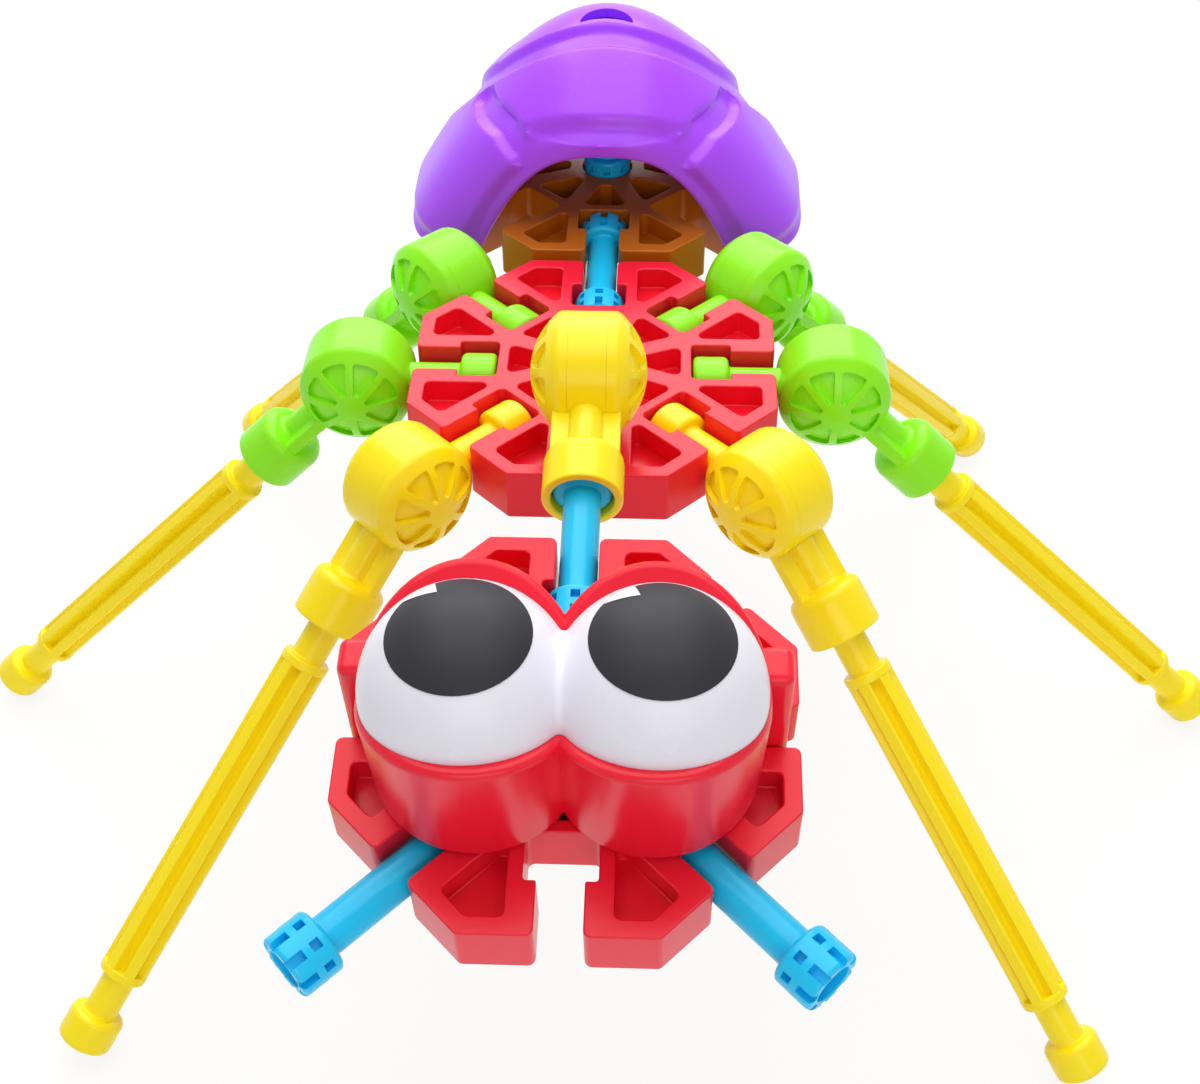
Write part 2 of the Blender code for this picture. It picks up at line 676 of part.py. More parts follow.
def add_body(hub_mesh, rod_mesh):
    """Thorax, abdomen, the rod between them, and the shell on its peg."""
    add_piece("thorax_hub", hub_mesh, Matrix(), RED)
    add_piece("abdomen_hub", hub_mesh, shift(y=ABDOMEN_Y), ORANGE)
    add_piece("waist_rod", rod_mesh, frame((0, SLOT_SEAT, 0), (0, 1, 0), (-1, 0, 0)), BLUE)
    add_piece("shell_peg", rod_mesh, frame((0, ABDOMEN_Y, PEG_FOOT), (0, 0, 1), (1, 0, 0)), BLUE)
    add_piece("shell", shell_body(), shift(y=ABDOMEN_Y), PURPLE)


def add_head(hub_mesh, rod_mesh):
    """Neck joint and rod, head hub, mandibles, mask and eyes."""
    ball = Vector((0, -SLOT_SEAT, NECK_RISE))
    ahead = Vector((0, -math.cos(NECK_PITCH), -math.sin(NECK_PITCH)))
    sideways = Vector((1, 0, 0))
    neck_place = frame(ball, ahead, sideways)
    tab_mesh = joint_tab(NECK_RISE, trimmed=True)
    add_joint("neck", tab_mesh, frame(ball, (0, 0, 1), sideways), neck_place, YELLOW)
    add_piece("neck_rod", rod_mesh, neck_place @ shift(x=CUP_SEAT), BLUE)
    head = Matrix.Translation(ball + ahead * HEAD_REACH) @ turn(NECK_PITCH, "X")
    add_piece("head_hub", hub_mesh, head, RED)
    for name, slot in MANDIBLES:
        place = head @ turn(slot * SLOT_TURN, "Z") @ shift(x=SLOT_SEAT)
        add_piece(name, rod_mesh, place, BLUE)
    add_piece("eye_mask", eye_mask(), head, RED)
    add_piece("eye_white", eye_white(), head, WHITE)
    for name, place in zip(("pupil_left", "pupil_right"), eye_places()):
        add_piece(name, pupil(), head @ Matrix.Translation(place), BLACK, roughness=0.1)


def stand_on_origin(pieces):
    """Hang the pieces on an empty that puts the bottom centre at the origin."""
    bpy.context.view_layer.update()
    corners = [obj.matrix_world @ vert.co for obj in pieces for vert in obj.data.vertices]
    low = [min(c[i] for c in corners) for i in range(3)]
    high = [max(c[i] for c in corners) for i in range(3)]
    root = bpy.data.objects.new("bug_stand_point", None)
    bpy.data.collections[KIT_NAME].objects.link(root)
    for obj in pieces:
        obj.parent = root
    root.location = (-(low[0] + high[0]) / 2, -(low[1] + high[1]) / 2, -low[2])
    bpy.context.view_layer.update()
    print("stand point moved by", [round(v / MM, 3) for v in root.location], "mm")
    print("size", [round((b - a) / MM, 2) for a, b in zip(low, high)], "mm")


def main():
    clear_scene()
    parts = bpy.data.collections.new(KIT_NAME)
    bpy.context.scene.collection.children.link(parts)
    hub_mesh = hub()
    rod_mesh = short_rod()
    add_body(hub_mesh, rod_mesh)
    add_legs()
    add_head(hub_mesh, rod_mesh)
    stand_on_origin([obj for obj in parts.objects if obj.type == "MESH"])


main()
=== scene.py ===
"""Visible mouldings, plastics and studio of the snap-kit bug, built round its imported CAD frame."""

import json
import math

import bmesh
import bpy
from bpy.props import FloatProperty, FloatVectorProperty, PointerProperty
from mathutils import Matrix, Vector


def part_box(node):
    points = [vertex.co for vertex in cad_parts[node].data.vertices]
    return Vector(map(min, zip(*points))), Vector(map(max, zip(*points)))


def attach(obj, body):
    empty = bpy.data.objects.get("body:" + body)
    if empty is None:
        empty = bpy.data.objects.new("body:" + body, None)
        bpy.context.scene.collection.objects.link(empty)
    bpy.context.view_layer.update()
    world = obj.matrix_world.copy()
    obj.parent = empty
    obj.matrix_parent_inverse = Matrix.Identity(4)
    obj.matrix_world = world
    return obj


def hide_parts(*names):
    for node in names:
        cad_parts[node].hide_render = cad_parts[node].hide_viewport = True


bl_info = {
    "name": "Snap-kit bug",
    "version": (1, 0, 0),
    "blender": (4, 5, 0),
    "location": "3D View > Sidebar > Snap Kit",
    "description": "Dresses the packed snap-kit bug with moulded pieces, plastics and a studio",
    "category": "Object",
}

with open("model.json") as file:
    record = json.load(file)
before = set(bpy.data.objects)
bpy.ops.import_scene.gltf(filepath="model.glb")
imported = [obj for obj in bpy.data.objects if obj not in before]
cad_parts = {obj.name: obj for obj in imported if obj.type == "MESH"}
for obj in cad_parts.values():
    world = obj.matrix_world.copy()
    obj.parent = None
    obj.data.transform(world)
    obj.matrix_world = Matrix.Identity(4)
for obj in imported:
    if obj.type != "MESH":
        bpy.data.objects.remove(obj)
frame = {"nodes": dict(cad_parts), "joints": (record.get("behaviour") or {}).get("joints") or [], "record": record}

PIECE_SUFFIX = "_moulding"
MM = 0.001
# Points closer than this are welded
WELD = 2e-6
# Gap between faces that slide over each other in a hinge
HAIR = 0.03 * MM
# Steps of a rounded corner, a full turn and a dome
ARC_STEPS = 4
TURN_STEPS = 56
DOME_STEPS = 14
# Angles from which an edge is rounded, rounded at a drum's windows, and shaded as sharp
SHARP = math.radians(30)
WINDOW_SHARP = math.radians(40)
SMOOTH = math.radians(38)
# Columns round the shell, rows over and under its widest level, and rows that round its rim
SHELL_COLUMNS = 320
SHELL_TOP_ROWS = 56
SHELL_SIDE_ROWS = 44
RIM_ROWS = 5
# Share of a side that the rim's rows take up, and most rise of the arch within a column
RIM_SHARE = 0.02
ARCH_STEP = 0.02
# Halvings in the search for the arch's edge
FIND_STEPS = 24
# Octaves of the noise in the plastics' colour and grain
FLOW_DETAIL = 3
GRAIN_DETAIL = 2
SENSOR_WIDTH = 36

HUB_SIDES = 8
HUB_TURN = 2 * math.pi / HUB_SIDES
KNOB_WINDOWS = 8
DRUM_WINDOWS = 8
LEG_RIBS = 6
LEG_REST = math.radians(45)
HUBS = (("thorax_hub", "red"), ("head_hub", "red"), ("abdomen_hub", "orange"))
SHORT_RODS = ("waist_rod", "shell_peg", "neck_rod", "mandible_left", "mandible_right")
LEGS = (
    ("front_left", "yellow"),
    ("front_right", "yellow"),
    ("middle_left", "green"),
    ("middle_right", "green"),
    ("rear_left", "green"),
    ("rear_right", "green"),
)
# Groove between the front panel and a side panel: share of the dome's reach and degrees about Z
GROOVE_LINE = ((0.58, 354.0), (0.56, 323.5), (0.60, 303.5), (0.66, 294.5), (0.74, 288.0))
FINISH_SOCKETS = (
    ("INPUT", "Color", "Colour"),
    ("INPUT", "Float", "Mottle"),
    ("INPUT", "Float", "Roughness"),
    ("OUTPUT", "Color", "Colour"),
    ("OUTPUT", "Float", "Roughness"),
    ("OUTPUT", "Float", "Height"),
)
# Studio lights: name, place and size in metres, and the setting that holds the power
LIGHTS = (
    ("Overhead softbox", (0.0, 0.1, 0.95), (1.1, 0.9), "top"),
    ("Back softbox", (-0.05, 0.6, 0.62), (0.9, 0.5), "back"),
    ("Front fill", (0.15, -0.85, 0.4), (0.7, 0.5), "fill"),
)
X_AXIS = Vector((1, 0, 0))
Y_AXIS = Vector((0, 1, 0))
Z_AXIS = Vector((0, 0, 1))


def box_size(node):
    """Sides of a CAD node's box."""
    low, high = (Vector(corner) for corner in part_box(node))
    return high - low


def box_centre(node):
    """Middle of a CAD node's box."""
    low, high = (Vector(corner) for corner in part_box(node))
    return (low + high) / 2


JOINTS = {joint["name"]: joint for joint in frame["joints"]}
HEAD_BACK = -Vector(JOINTS["head_roll"]["axis"])
HEAD_TURN = Matrix((X_AXIS, HEAD_BACK, X_AXIS.cross(HEAD_BACK))).transposed()
HEAD_PLACE = Matrix.Translation(box_centre("head_hub")) @ HEAD_TURN.to_4x4()
BODY_OF = {
    node: body
    for body, nodes in frame["record"]["behaviour"]["bodies"].items()
    for node in nodes
}


def amount(name, default, description, **kind):
    """A number that a user can change."""
    return FloatProperty(name=name, description=description, default=default, **kind)


def size(name, millimetres, description):
    """A length that a user can change."""
    return amount(name, millimetres * MM, description, precision=5, unit="LENGTH", subtype="DISTANCE")


def slant(name, degrees, description):
    """An angle that a user can change."""
    return amount(name, math.radians(degrees), description, unit="ROTATION", subtype="ANGLE")


def factor(name, default, description):
    """A share of one that a user can change."""
    return amount(name, default, description, min=0.0, max=1.0, subtype="FACTOR")


def tint(name, default, description):
    """A colour that a user can change."""
    return FloatVectorProperty(
        name=name,
        description=description,
        default=default,
        min=0.0,
        max=1.0,
        subtype="COLOR",
    )


class SnapKitHub(bpy.types.PropertyGroup):
    """Sizes of the slotted octagon hub."""

    seat: size("Seat", 23.2, "Distance of a seated knob from the hub's middle")
    rim_wall: size("Rim wall", 3.0, "Wall between a corner pocket and the hub's edge")
    side_wall: size("Side wall", 2.4, "Wall between a corner pocket and a slot")
    end_wall: size("End wall", 2.2, "Wall behind the end of a slot")
    spoke_wall: size("Spoke wall", 4.2, "Width of a spoke towards a corner")
    boss_wall: size("Boss wall", 3.0, "Wall round the centre socket")
    web: size("Web", 1.3, "Thickness of the floor between the pockets of both faces")
    centre_web: size("Centre web", 2.6, "Thickness of the floor of the centre socket")
    corner: size("Corner", 1.2, "Rounding of the outline's corners")
    pocket_corner: size("Pocket corner", 1.1, "Rounding of the pockets' corners")
    step_corner: size("Step corner", 0.35, "Rounding of the narrowing in a slot")
    edge: size("Edge", 0.7, "Rounding of the edges round both faces")


class SnapKitRod(bpy.types.PropertyGroup):
    """Sizes of the short rods and the leg rods."""

    shaft: size("Shaft", 6.6, "Diameter of a rod")
    span: size("Span", 29.6, "Distance between the middles of a short rod's knobs")
    knob: size("Knob", 10.6, "Diameter of a knob")
    knob_length: size("Knob length", 7.2, "Length of a knob")
    knob_edge: size("Knob edge", 0.8, "Rounding of a knob")
    gap: size("Gap", 0.3, "Room left between pieces that snap together")
    window: size("Window", 1.6, "Width of a window in a knob")
    window_low: size("Window start", 1.4, "From a knob's shoulder to its closed windows")
    window_high: size("Window end", 3.0, "From a knob's shoulder to the far side of its closed windows")
    notch: size("Notch start", 4.3, "From a knob's shoulder to its open notches")
    window_depth: size("Window depth", 1.5, "Depth of windows and notches")
    bore: size("Bore", 6.6, "Diameter of the hollow in a knob's end")
    bore_depth: size("Bore depth", 2.4, "Depth of the hollow in a knob's end")
    pip: size("Pip", 3.4, "Diameter of the pip in the hollow")
    leg_length: size("Leg length", 105.4, "Whole length of a leg rod")
    leg_shaft: size("Leg shaft", 8.9, "Round stretch between a leg's knob and its collar")
    leg_knob: size("Leg knob", 10.8, "Diameter of a leg's knob")
    leg_edge: size("Leg edge", 1.3, "Rounding of a leg's knob")
    rib_reach: size("Rib reach", 4.7, "Distance of a rib's crest from the leg's axis")
    rib_width: size("Rib width", 2.4, "Width of a rib")
    rib_foot: size("Rib foot", 2.5, "Distance of a rib's foot from the leg's axis")
    trough: size("Trough", 2.6, "Distance of a trough's floor from the leg's axis")
    collar: size("Collar", 1.9, "Length of a collar")
    rib_edge: size("Rib edge", 0.4, "Rounding of ribs and collars")
    middle_twist: slant("Middle leg twist", 30, "Turn of the middle leg rods in their cups")


class SnapKitJoint(bpy.types.PropertyGroup):
    """Sizes of the hinge joints."""

    drum: size("Drum", 22.4, "Diameter of the drum")
    drum_length: size("Drum length", 21.6, "Length of the drum over both domes")
    band: size("Band", 10.8, "Length of the drum's straight band")
    disc: size("Disc", 7.1, "Thickness of the tab's disc between the cheeks")
    rim: size("Rim", 1.8, "Rounding between band and dome")
    tab_length: size("Tab length", 24.6, "From the hinge to the middle of the tab's knob")
    tab_edge: size("Tab edge", 1.2, "Rounding of the tab's knob")
    rib: size("Rib", 6.8, "Diameter of the arm's rib")
    flange_width: size("Flange width", 12.6, "Width of the flange beside the rib, along the hinge")
    flange_thickness: size("Flange thickness", 2.6, "Thickness of the flange")
    cup_reach: size("Cup reach", 30.4, "From the hinge to the cup's mouth")
    cup_recess: size("Cup recess", 1.2, "From the cup's mouth to the seated knob")
    cup_wall: size("Cup wall", 1.6, "Wall of the cup")
    cup_base: size("Cup base", 1.4, "Floor of the cup")
    cup_round: size("Cup shoulder", 2.2, "Rounding of the cup's shoulder")
    lip: size("Lip", 0.5, "Rounding of the cup's mouth")
    hole_near: size("Window start", 3.1, "From the hinge axis to a window of the dome")
    hole_far: size("Window end", 9.1, "From the hinge axis to a window's far side")
    spoke: size("Spoke", 1.5, "Width of a spoke between windows")
    hole_depth: size("Window depth", 1.1, "Depth of the windows")
    hole_corner: size("Window corner", 0.6, "Rounding of the windows' corners")


class SnapKitHead(bpy.types.PropertyGroup):
    """Sizes of the eye mask and the eyes."""

    eye: size("Eyeball", 16.0, "Radius of an eyeball")
    eye_side: size("Eye side", 13.9, "Distance of an eyeball from the middle")
    eye_ahead: size("Eye ahead", 7.0, "Distance of the eyeballs in front of the hub's middle")
    eye_lift: size("Eye lift", 25.4, "Height of the eyeballs over the hub's middle")
    eye_room: size("Eye room", 0.05, "Gap between the eyeballs and the mask")
    crease: size("Crease", 0.9, "Rounding of the crease between the eyeballs")
    pupil: size("Pupil", 10.5, "Radius of a pupil")
    pupil_thickness: size("Pupil thickness", 0.3, "Thickness of a pupil")
    pupil_stand: size("Pupil stand", 0.1, "How far a pupil stands over its eyeball")
    pupil_tilt: slant("Pupil tilt", 4.6, "Forward lean of the pupils")
    pupil_spread: slant("Pupil spread", 1.9, "Outward lean of the pupils")
    glint_out: size("Glint reach", 10.3, "Distance of a glint's outer edge from the pupil's middle")
    glint_in: size("Glint tip", 6.9, "Distance of a glint's tip from the pupil's middle")
    glint_thickness: size("Glint thickness", 0.15, "Thickness of a glint")
    glint_stand: size("Glint stand", 0.2, "How far a glint stands over the eyeball")
    glint_from: slant("Glint start", 114, "Direction of a glint's inner corner")
    glint_to: slant("Glint end", 145, "Direction of a glint's outer corner")
    glint_tip: slant("Glint tip direction", 119, "Direction of a glint's tip")
    cup: size("Cup", 17.0, "Radius of the mask round an eyeball")
    cup_side: size("Cup side", 13.4, "Distance of the mask's two cups from the middle")
    cup_ahead: size("Cup ahead", 7.4, "Distance of the cups in front of the hub's middle")
    taper: size("Taper", 0.8, "How much the cups narrow towards the hub")
    foot: size("Foot", 0.3, "Gap between the mask and the hub")
    foot_round: size("Foot rounding", 0.8, "Rounding of the mask's lower edge")
    lid_lift: size("Lid lift", 24.6, "Height of the line beside the eyes where the two lids meet")
    lid_front: slant("Lower lid", 19.4, "Rise of the lower lid towards the front")
    lid_back: slant("Upper lid", 34.6, "Rise of the upper lid towards the back")
    lid_round: size("Lid rounding", 1.8, "Rounding of the lids' outer edge")
    strap_out: size("Strap reach", 34.0, "Distance of a strap's outer face from the middle")
    strap: size("Strap thickness", 5.6, "Thickness of a strap")
    strap_width: size("Strap width", 6.6, "Width of a strap")
    strap_top: size("Strap top", 23.5, "Height of a strap over the hub's middle")
    strap_dip: size("Strap dip", 4.0, "How far a strap reaches into its slot")
    strap_edge: size("Strap edge", 1.6, "Rounding of a strap")


class SnapKitShell(bpy.types.PropertyGroup):
    """Sizes of the domed cover."""

    half_x: size("Half width", 45.3, "Half of the shell's width under its panels")
    half_y: size("Half length", 28.5, "Half of the shell's length under its panels")
    height: size("Height", 44.8, "Height of the shell over its rim, under its panels")
    rim: size("Rim", -4.0, "Height of the rim over the hub's middle")
    wall: size("Wall", 2.0, "Wall of the shell")
    bulge: amount("Bulge", 1.8, "Power of the dome's profile")
    square: amount("Square", 3.2, "Power of the rim's outline")
    deep: amount("Depth", 1.17, "Half length over half width of the dome near its top")
    arch_half: size("Arch half width", 28.8, "Half width of the arch")
    arch_height: size("Arch height", 27.3, "Height of the arch over the rim")
    arch_power: amount("Arch power", 2.55, "Power of the arch's outline")
    panel: size("Panel", 1.7, "How far the front and side panels stand proud")
    cap: size("Cap", 1.6, "How far the cap over the top and the back stands proud")
    groove: size("Groove", 3.4, "Width of the grooves between front and side panels")
    cap_groove: size("Cap groove", 3.2, "Width of the groove round the cap")
    cap_half: size("Cap half width", 31.0, "Half width of the cap")
    cap_length: size("Cap length", 25.0, "Length of the cap's rounded front")
    cap_middle: size("Cap middle", 20.0, "Place behind the shell's middle where the cap is widest")
    border_front: size("Front border", 5.0, "Plain border between the arch and the front panel")
    border_side: size("Side border", 2.0, "Plain border round the side panels")
    shoulder: size("Shoulder", 2.1, "Width of a panel's rounded shoulder")
    edge: size("Edge", 0.7, "Rounding of the rim and the arch")
    socket_drop: size("Socket drop", 2.4, "From the dome's top to the top of the socket under it")
    slot_half: size("Slot half width", 5.8, "Half width of the opening at the top")
    slot_front: size("Slot front", -1.8, "Place of the opening's straight edge")
    slot_length: size("Slot length", 5.5, "Length of the opening at the top")
    slot_depth: size("Slot depth", 5.0, "Depth of the opening at the top")


class SnapKitPlastics(bpy.types.PropertyGroup):
    """Colours and finish of the plastics."""

    red: tint("Red", (0.86, 0.010, 0.032), "Thorax, head and mask")
    # Dark orange: partly the abdomen's own colour, partly painted shade from the shell over it.
    orange: tint("Orange", (0.52, 0.13, 0.003), "Abdomen")
    purple: tint("Purple", (0.41, 0.065, 0.98), "Shell")
    green: tint("Green", (0.28, 0.88, 0.010), "Middle and rear joints")
    yellow: tint("Yellow", (1.0, 0.80, 0.006), "Front joints, neck joint and legs")
    blue: tint("Blue", (0.010, 0.58, 0.95), "Short rods")
    white: tint("White", (0.83, 0.82, 0.90), "Eyeballs and glints")
    black: tint("Black", (0.014, 0.014, 0.020), "Pupils")
    steel: tint("Steel", (0.55, 0.56, 0.58), "Hinge pins")
    roughness: factor("Roughness", 0.22, "Roughness of the moulded plastic")
    pupil_roughness: factor("Pupil roughness", 0.45, "Roughness of the pupils")
    steel_roughness: factor("Steel roughness", 0.3, "Roughness of the hinge pins")
    refraction: amount("Refraction", 1.5, "Refractive index of the plastics")
    gloss: factor("Gloss", 0.3, "Strength of the plastics' reflections")
    flow: amount("Flow", 45.0, "Patches of uneven plastic to a metre")
    mottle: factor("Mottle", 0.03, "Unevenness of the plastics' colour")
    polish: factor("Polish", 0.08, "Unevenness of the plastics' roughness")
    grain: amount("Grain", 1400.0, "Grains of the surface to a metre")
    grain_depth: size("Grain depth", 0.2, "Height of the surface's grain")
    grain_strength: factor("Grain strength", 0.05, "How much of the grain shows")


class SnapKitStage(bpy.types.PropertyGroup):
    """Camera, floor and lights."""

    lens: amount("Lens", 53.76, "Focal length on a 36 mm sensor", unit="CAMERA")
    eye_x: size("Camera X", 13.28, "Camera's place to the right of the thorax")
    eye_y: size("Camera Y", -290.37, "Camera's place behind the thorax, below zero in front of it")
    eye_z: size("Camera Z", 216.30, "Camera's height over the thorax")
    elevation: slant("Elevation", 41.78, "How far the camera looks down")
    yaw: slant("Yaw", -2.47, "How far the camera looks to the right")
    roll: slant("Roll", -0.53, "Turn of the camera about its view")
    world: factor("World", 0.28, "Strength of the light from all round")
    top: amount("Top", 7.0, "Power of the large light overhead", unit="POWER")
    back: amount("Back", 4.5, "Power of the light behind", unit="POWER")
    fill: amount("Fill", 2.0, "Power of the light beside the camera", unit="POWER")
    floor: tint("Floor", (0.92, 0.92, 0.92), "Colour of the floor")
    floor_half: size("Floor half width", 3000.0, "Half of the floor's width")
    floor_roughness: factor("Floor roughness", 0.9, "Roughness of the floor")
    floor_gloss: factor("Floor gloss", 0.1, "Strength of the floor's reflections")
    floor_glow: factor("Floor glow", 0.86, "Share of plain white in the floor as the camera sees it")


class SnapKit(bpy.types.PropertyGroup):
    """All settings of the bug."""

    hub: PointerProperty(name="Hub", description="Sizes of the hubs", type=SnapKitHub)
    rod: PointerProperty(name="Rods", description="Sizes of the rods", type=SnapKitRod)
    joint: PointerProperty(name="Joints", description="Sizes of the joints", type=SnapKitJoint)
    head: PointerProperty(name="Head", description="Sizes of mask and eyes", type=SnapKitHead)
    shell: PointerProperty(name="Shell", description="Sizes of the shell", type=SnapKitShell)
    plastics: PointerProperty(name="Plastics", description="Colours and finish", type=SnapKitPlastics)
    stage: PointerProperty(name="Stage", description="Camera and lights", type=SnapKitStage)


def fillet(before, corner, after, radius):
    """Points of the arc that rounds one corner of a flat outline."""
    if radius == 0:
        return [corner]
    to_before = (before - corner).normalized()
    to_after = (after - corner).normalized()
    half = to_before.angle(to_after) / 2
    centre = corner + (to_before + to_after).normalized() * (radius / math.sin(half))
    reach = radius / math.tan(half)
    start = (corner + to_before * reach - centre).normalized()
    end = (corner + to_after * reach - centre).normalized()
    return [centre + start.slerp(end, step / ARC_STEPS) * radius for step in range(ARC_STEPS + 1)]


def rounded(corners, closed=False):
    """Points of a flat outline or profile whose corners are (x, y) or (x, y, radius)."""
    spots = [Vector(corner[:2]) for corner in corners]
    points = []
    for index, corner in enumerate(corners):
        at_end = index in (0, len(corners) - 1)
        if len(corner) == 2 or (at_end and not closed):
            points.append(spots[index])
        else:
            after = spots[(index + 1) % len(spots)]
            points += fillet(spots[index - 1], spots[index], after, corner[2])
    return points


def everything(bm):
    """All vertices, edges and faces of a mesh."""
    return bm.verts[:] + bm.edges[:] + bm.faces[:]


def ring(bm, points):
    """Edges of a closed loop through points."""
    verts = [bm.verts.new(point) for point in points]
    return [bm.edges.new((verts[index - 1], vert)) for index, vert in enumerate(verts)]


def skinned(bm, loops):
    """Adds the faces between each two neighbouring loops."""
    for loop, following in zip(loops, loops[1:]):
        bmesh.ops.bridge_loops(bm, edges=loop + following)


def both_ends(half):
    """A profile that repeats its upper half below."""
    return half + [(corner[0], -corner[1], *corner[2:]) for corner in reversed(half)]


def cleaned(bm):
    """The same mesh, welded and with its faces turned outwards."""
    bmesh.ops.remove_doubles(bm, verts=bm.verts, dist=WELD)
    bmesh.ops.recalc_face_normals(bm, faces=bm.faces)
    return bm


def turned(profile):
    """A solid of revolution about Z from a profile of (radius, height) points."""
    bm = bmesh.new()
    verts = [bm.verts.new((point[0], 0, point[1])) for point in profile]
    edges = [bm.edges.new(pair) for pair in zip(verts, verts[1:])]
    bmesh.ops.spin(
        bm,
        geom=verts + edges,
        cent=(0, 0, 0),
        axis=(0, 0, 1),
        angle=2 * math.pi,
        steps=TURN_STEPS,
        use_merge=True,
    )
    return cleaned(bm)


def extruded(outline, low, high):
    """A prism of a closed flat outline between two heights."""
    bm = bmesh.new()
    face = bm.faces.new([bm.verts.new((point[0], point[1], low)) for point in outline])
    lifted = bmesh.ops.extrude_face_region(bm, geom=[face])["geom"]
    verts = [item for item in lifted if isinstance(item, bmesh.types.BMVert)]
    bmesh.ops.translate(bm, verts=verts, vec=(0, 0, high - low))
    return cleaned(bm)


def block(low, high):
    """A plain box between two corners, for cutting and trimming."""
    corners = [(low[0], low[1]), (high[0], low[1]), (high[0], high[1]), (low[0], high[1])]
    return extruded(corners, low[2], high[2])


def moved(bm, matrix):
    """The same mesh after a transform."""
    bmesh.ops.transform(bm, matrix=matrix, verts=bm.verts)
    return bm


def mesh_of(bm, name):
    """Mesh data of a mesh that is used up."""
    mesh = bpy.data.meshes.new(name)
    bm.to_mesh(mesh)
    bm.free()
    return mesh


def linked(name, data):
    """A new object in the scene."""
    obj = bpy.data.objects.new(name, data)
    bpy.context.scene.collection.objects.link(obj)
    return obj


def joined(parts):
    """One mesh of several that don't meet; the parts are used up."""
    bm = bmesh.new()
    for part in parts:
        mesh = mesh_of(part, "part")
        bm.from_mesh(mesh)
        bpy.data.meshes.remove(mesh)
    return bm


def combined(bm, tool, operation):
    """The Boolean of two meshes; both are used up."""
    objects = [linked("work", mesh_of(bm, "work")), linked("tool", mesh_of(tool, "tool"))]
    modifier = objects[0].modifiers.new(operation.lower(), "BOOLEAN")
    modifier.operation = operation
    modifier.object = objects[1]
    modifier.solver = "EXACT"
    done = bmesh.new()
    done.from_object(objects[0], bpy.context.evaluated_depsgraph_get())
    for obj in objects:
        mesh = obj.data
        bpy.data.objects.remove(obj)
        bpy.data.meshes.remove(mesh)
    return cleaned(done)


def softened(bm, width, segments=2, sharp=SHARP):
    """The same mesh with its sharp edges rounded."""
    edges = [edge for edge in bm.edges if edge.is_manifold and edge.calc_face_angle() > sharp]
    bmesh.ops.bevel(
        bm,
        geom=edges,
        offset=width,
        offset_type="OFFSET",
        segments=segments,
        profile=0.5,
        affect="EDGES",
        clamp_overlap=True,
        material=-1,
    )
    return bm


def placed(origin, x_axis, z_axis):
    """Placement whose local X and Z lie along two directions."""
    turn = Matrix((x_axis, z_axis.cross(x_axis), z_axis)).transposed()
    return Matrix.Translation(origin) @ turn.to_4x4()


def hip_frame(leg):
    """Middle, hinge axis, outward and rest direction of a hip joint."""
    hip = JOINTS[leg + "_hip"]
    axis = Vector(hip["axis"]).normalized()
    out = axis.cross(Z_AXIS)
    return Vector(hip["pos_m"]), axis, out, out * math.cos(LEG_REST) - Z_AXIS * math.sin(LEG_REST)


def add_piece(name, bm, colour, on=None):
    """Adds a finished piece that stands for the CAD node of its name, or lies on another one."""
    mesh = mesh_of(bm, name + PIECE_SUFFIX)
    mesh.shade_smooth()
    mesh.set_sharp_from_angle(angle=SMOOTH)
    mesh.materials.append(plastic(colour))
    obj = linked(name + PIECE_SUFFIX, mesh)
    normals = obj.modifiers.new("weighted normals", "WEIGHTED_NORMAL")
    normals.keep_sharp = True
    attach(obj, BODY_OF[on or name])
    if not on:
        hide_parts(name)


def calculated(tree, operation, *values):
    """Result of a sum on sockets and plain numbers."""
    node = tree.nodes.new("ShaderNodeMath")
    node.operation = operation
    for socket, value in zip(node.inputs, values):
        if isinstance(value, bpy.types.NodeSocket):
            tree.links.new(value, socket)
        else:
            socket.default_value = value
    return node.outputs["Value"]


def noise(tree, scale, detail):
    """Noise that is fixed to a piece."""
    place = tree.nodes.new("ShaderNodeTexCoord")
    node = tree.nodes.new("ShaderNodeTexNoise")
    node.inputs["Scale"].default_value = scale
    node.inputs["Detail"].default_value = detail
    tree.links.new(place.outputs["Object"], node.inputs["Vector"])
    return node.outputs["Fac"]


def finish_group(settings):
    """Shared surface finish of moulded plastic: colour, roughness and grain over the surface."""
    group = bpy.data.node_groups.get("Moulded finish")
    if group:
        return group
    group = bpy.data.node_groups.new("Moulded finish", "ShaderNodeTree")
    for direction, kind, name in FINISH_SOCKETS:
        group.interface.new_socket(name, in_out=direction, socket_type="NodeSocket" + kind)
    start = group.nodes.new("NodeGroupInput").outputs
    end = group.nodes.new("NodeGroupOutput").inputs
    flow = noise(group, settings.flow, FLOW_DETAIL)
    darkest = calculated(group, "SUBTRACT", 1.0, start["Mottle"])
    value = calculated(group, "MULTIPLY_ADD", flow, start["Mottle"], darkest)
    rough = calculated(group, "MULTIPLY_ADD", flow, settings.polish, start["Roughness"])
    shade = group.nodes.new("ShaderNodeHueSaturation")
    group.links.new(value, shade.inputs["Value"])
    group.links.new(start["Colour"], shade.inputs["Color"])
    group.links.new(shade.outputs["Color"], end["Colour"])
    group.links.new(rough, end["Roughness"])
    group.links.new(noise(group, settings.grain, GRAIN_DETAIL), end["Height"])
    return group


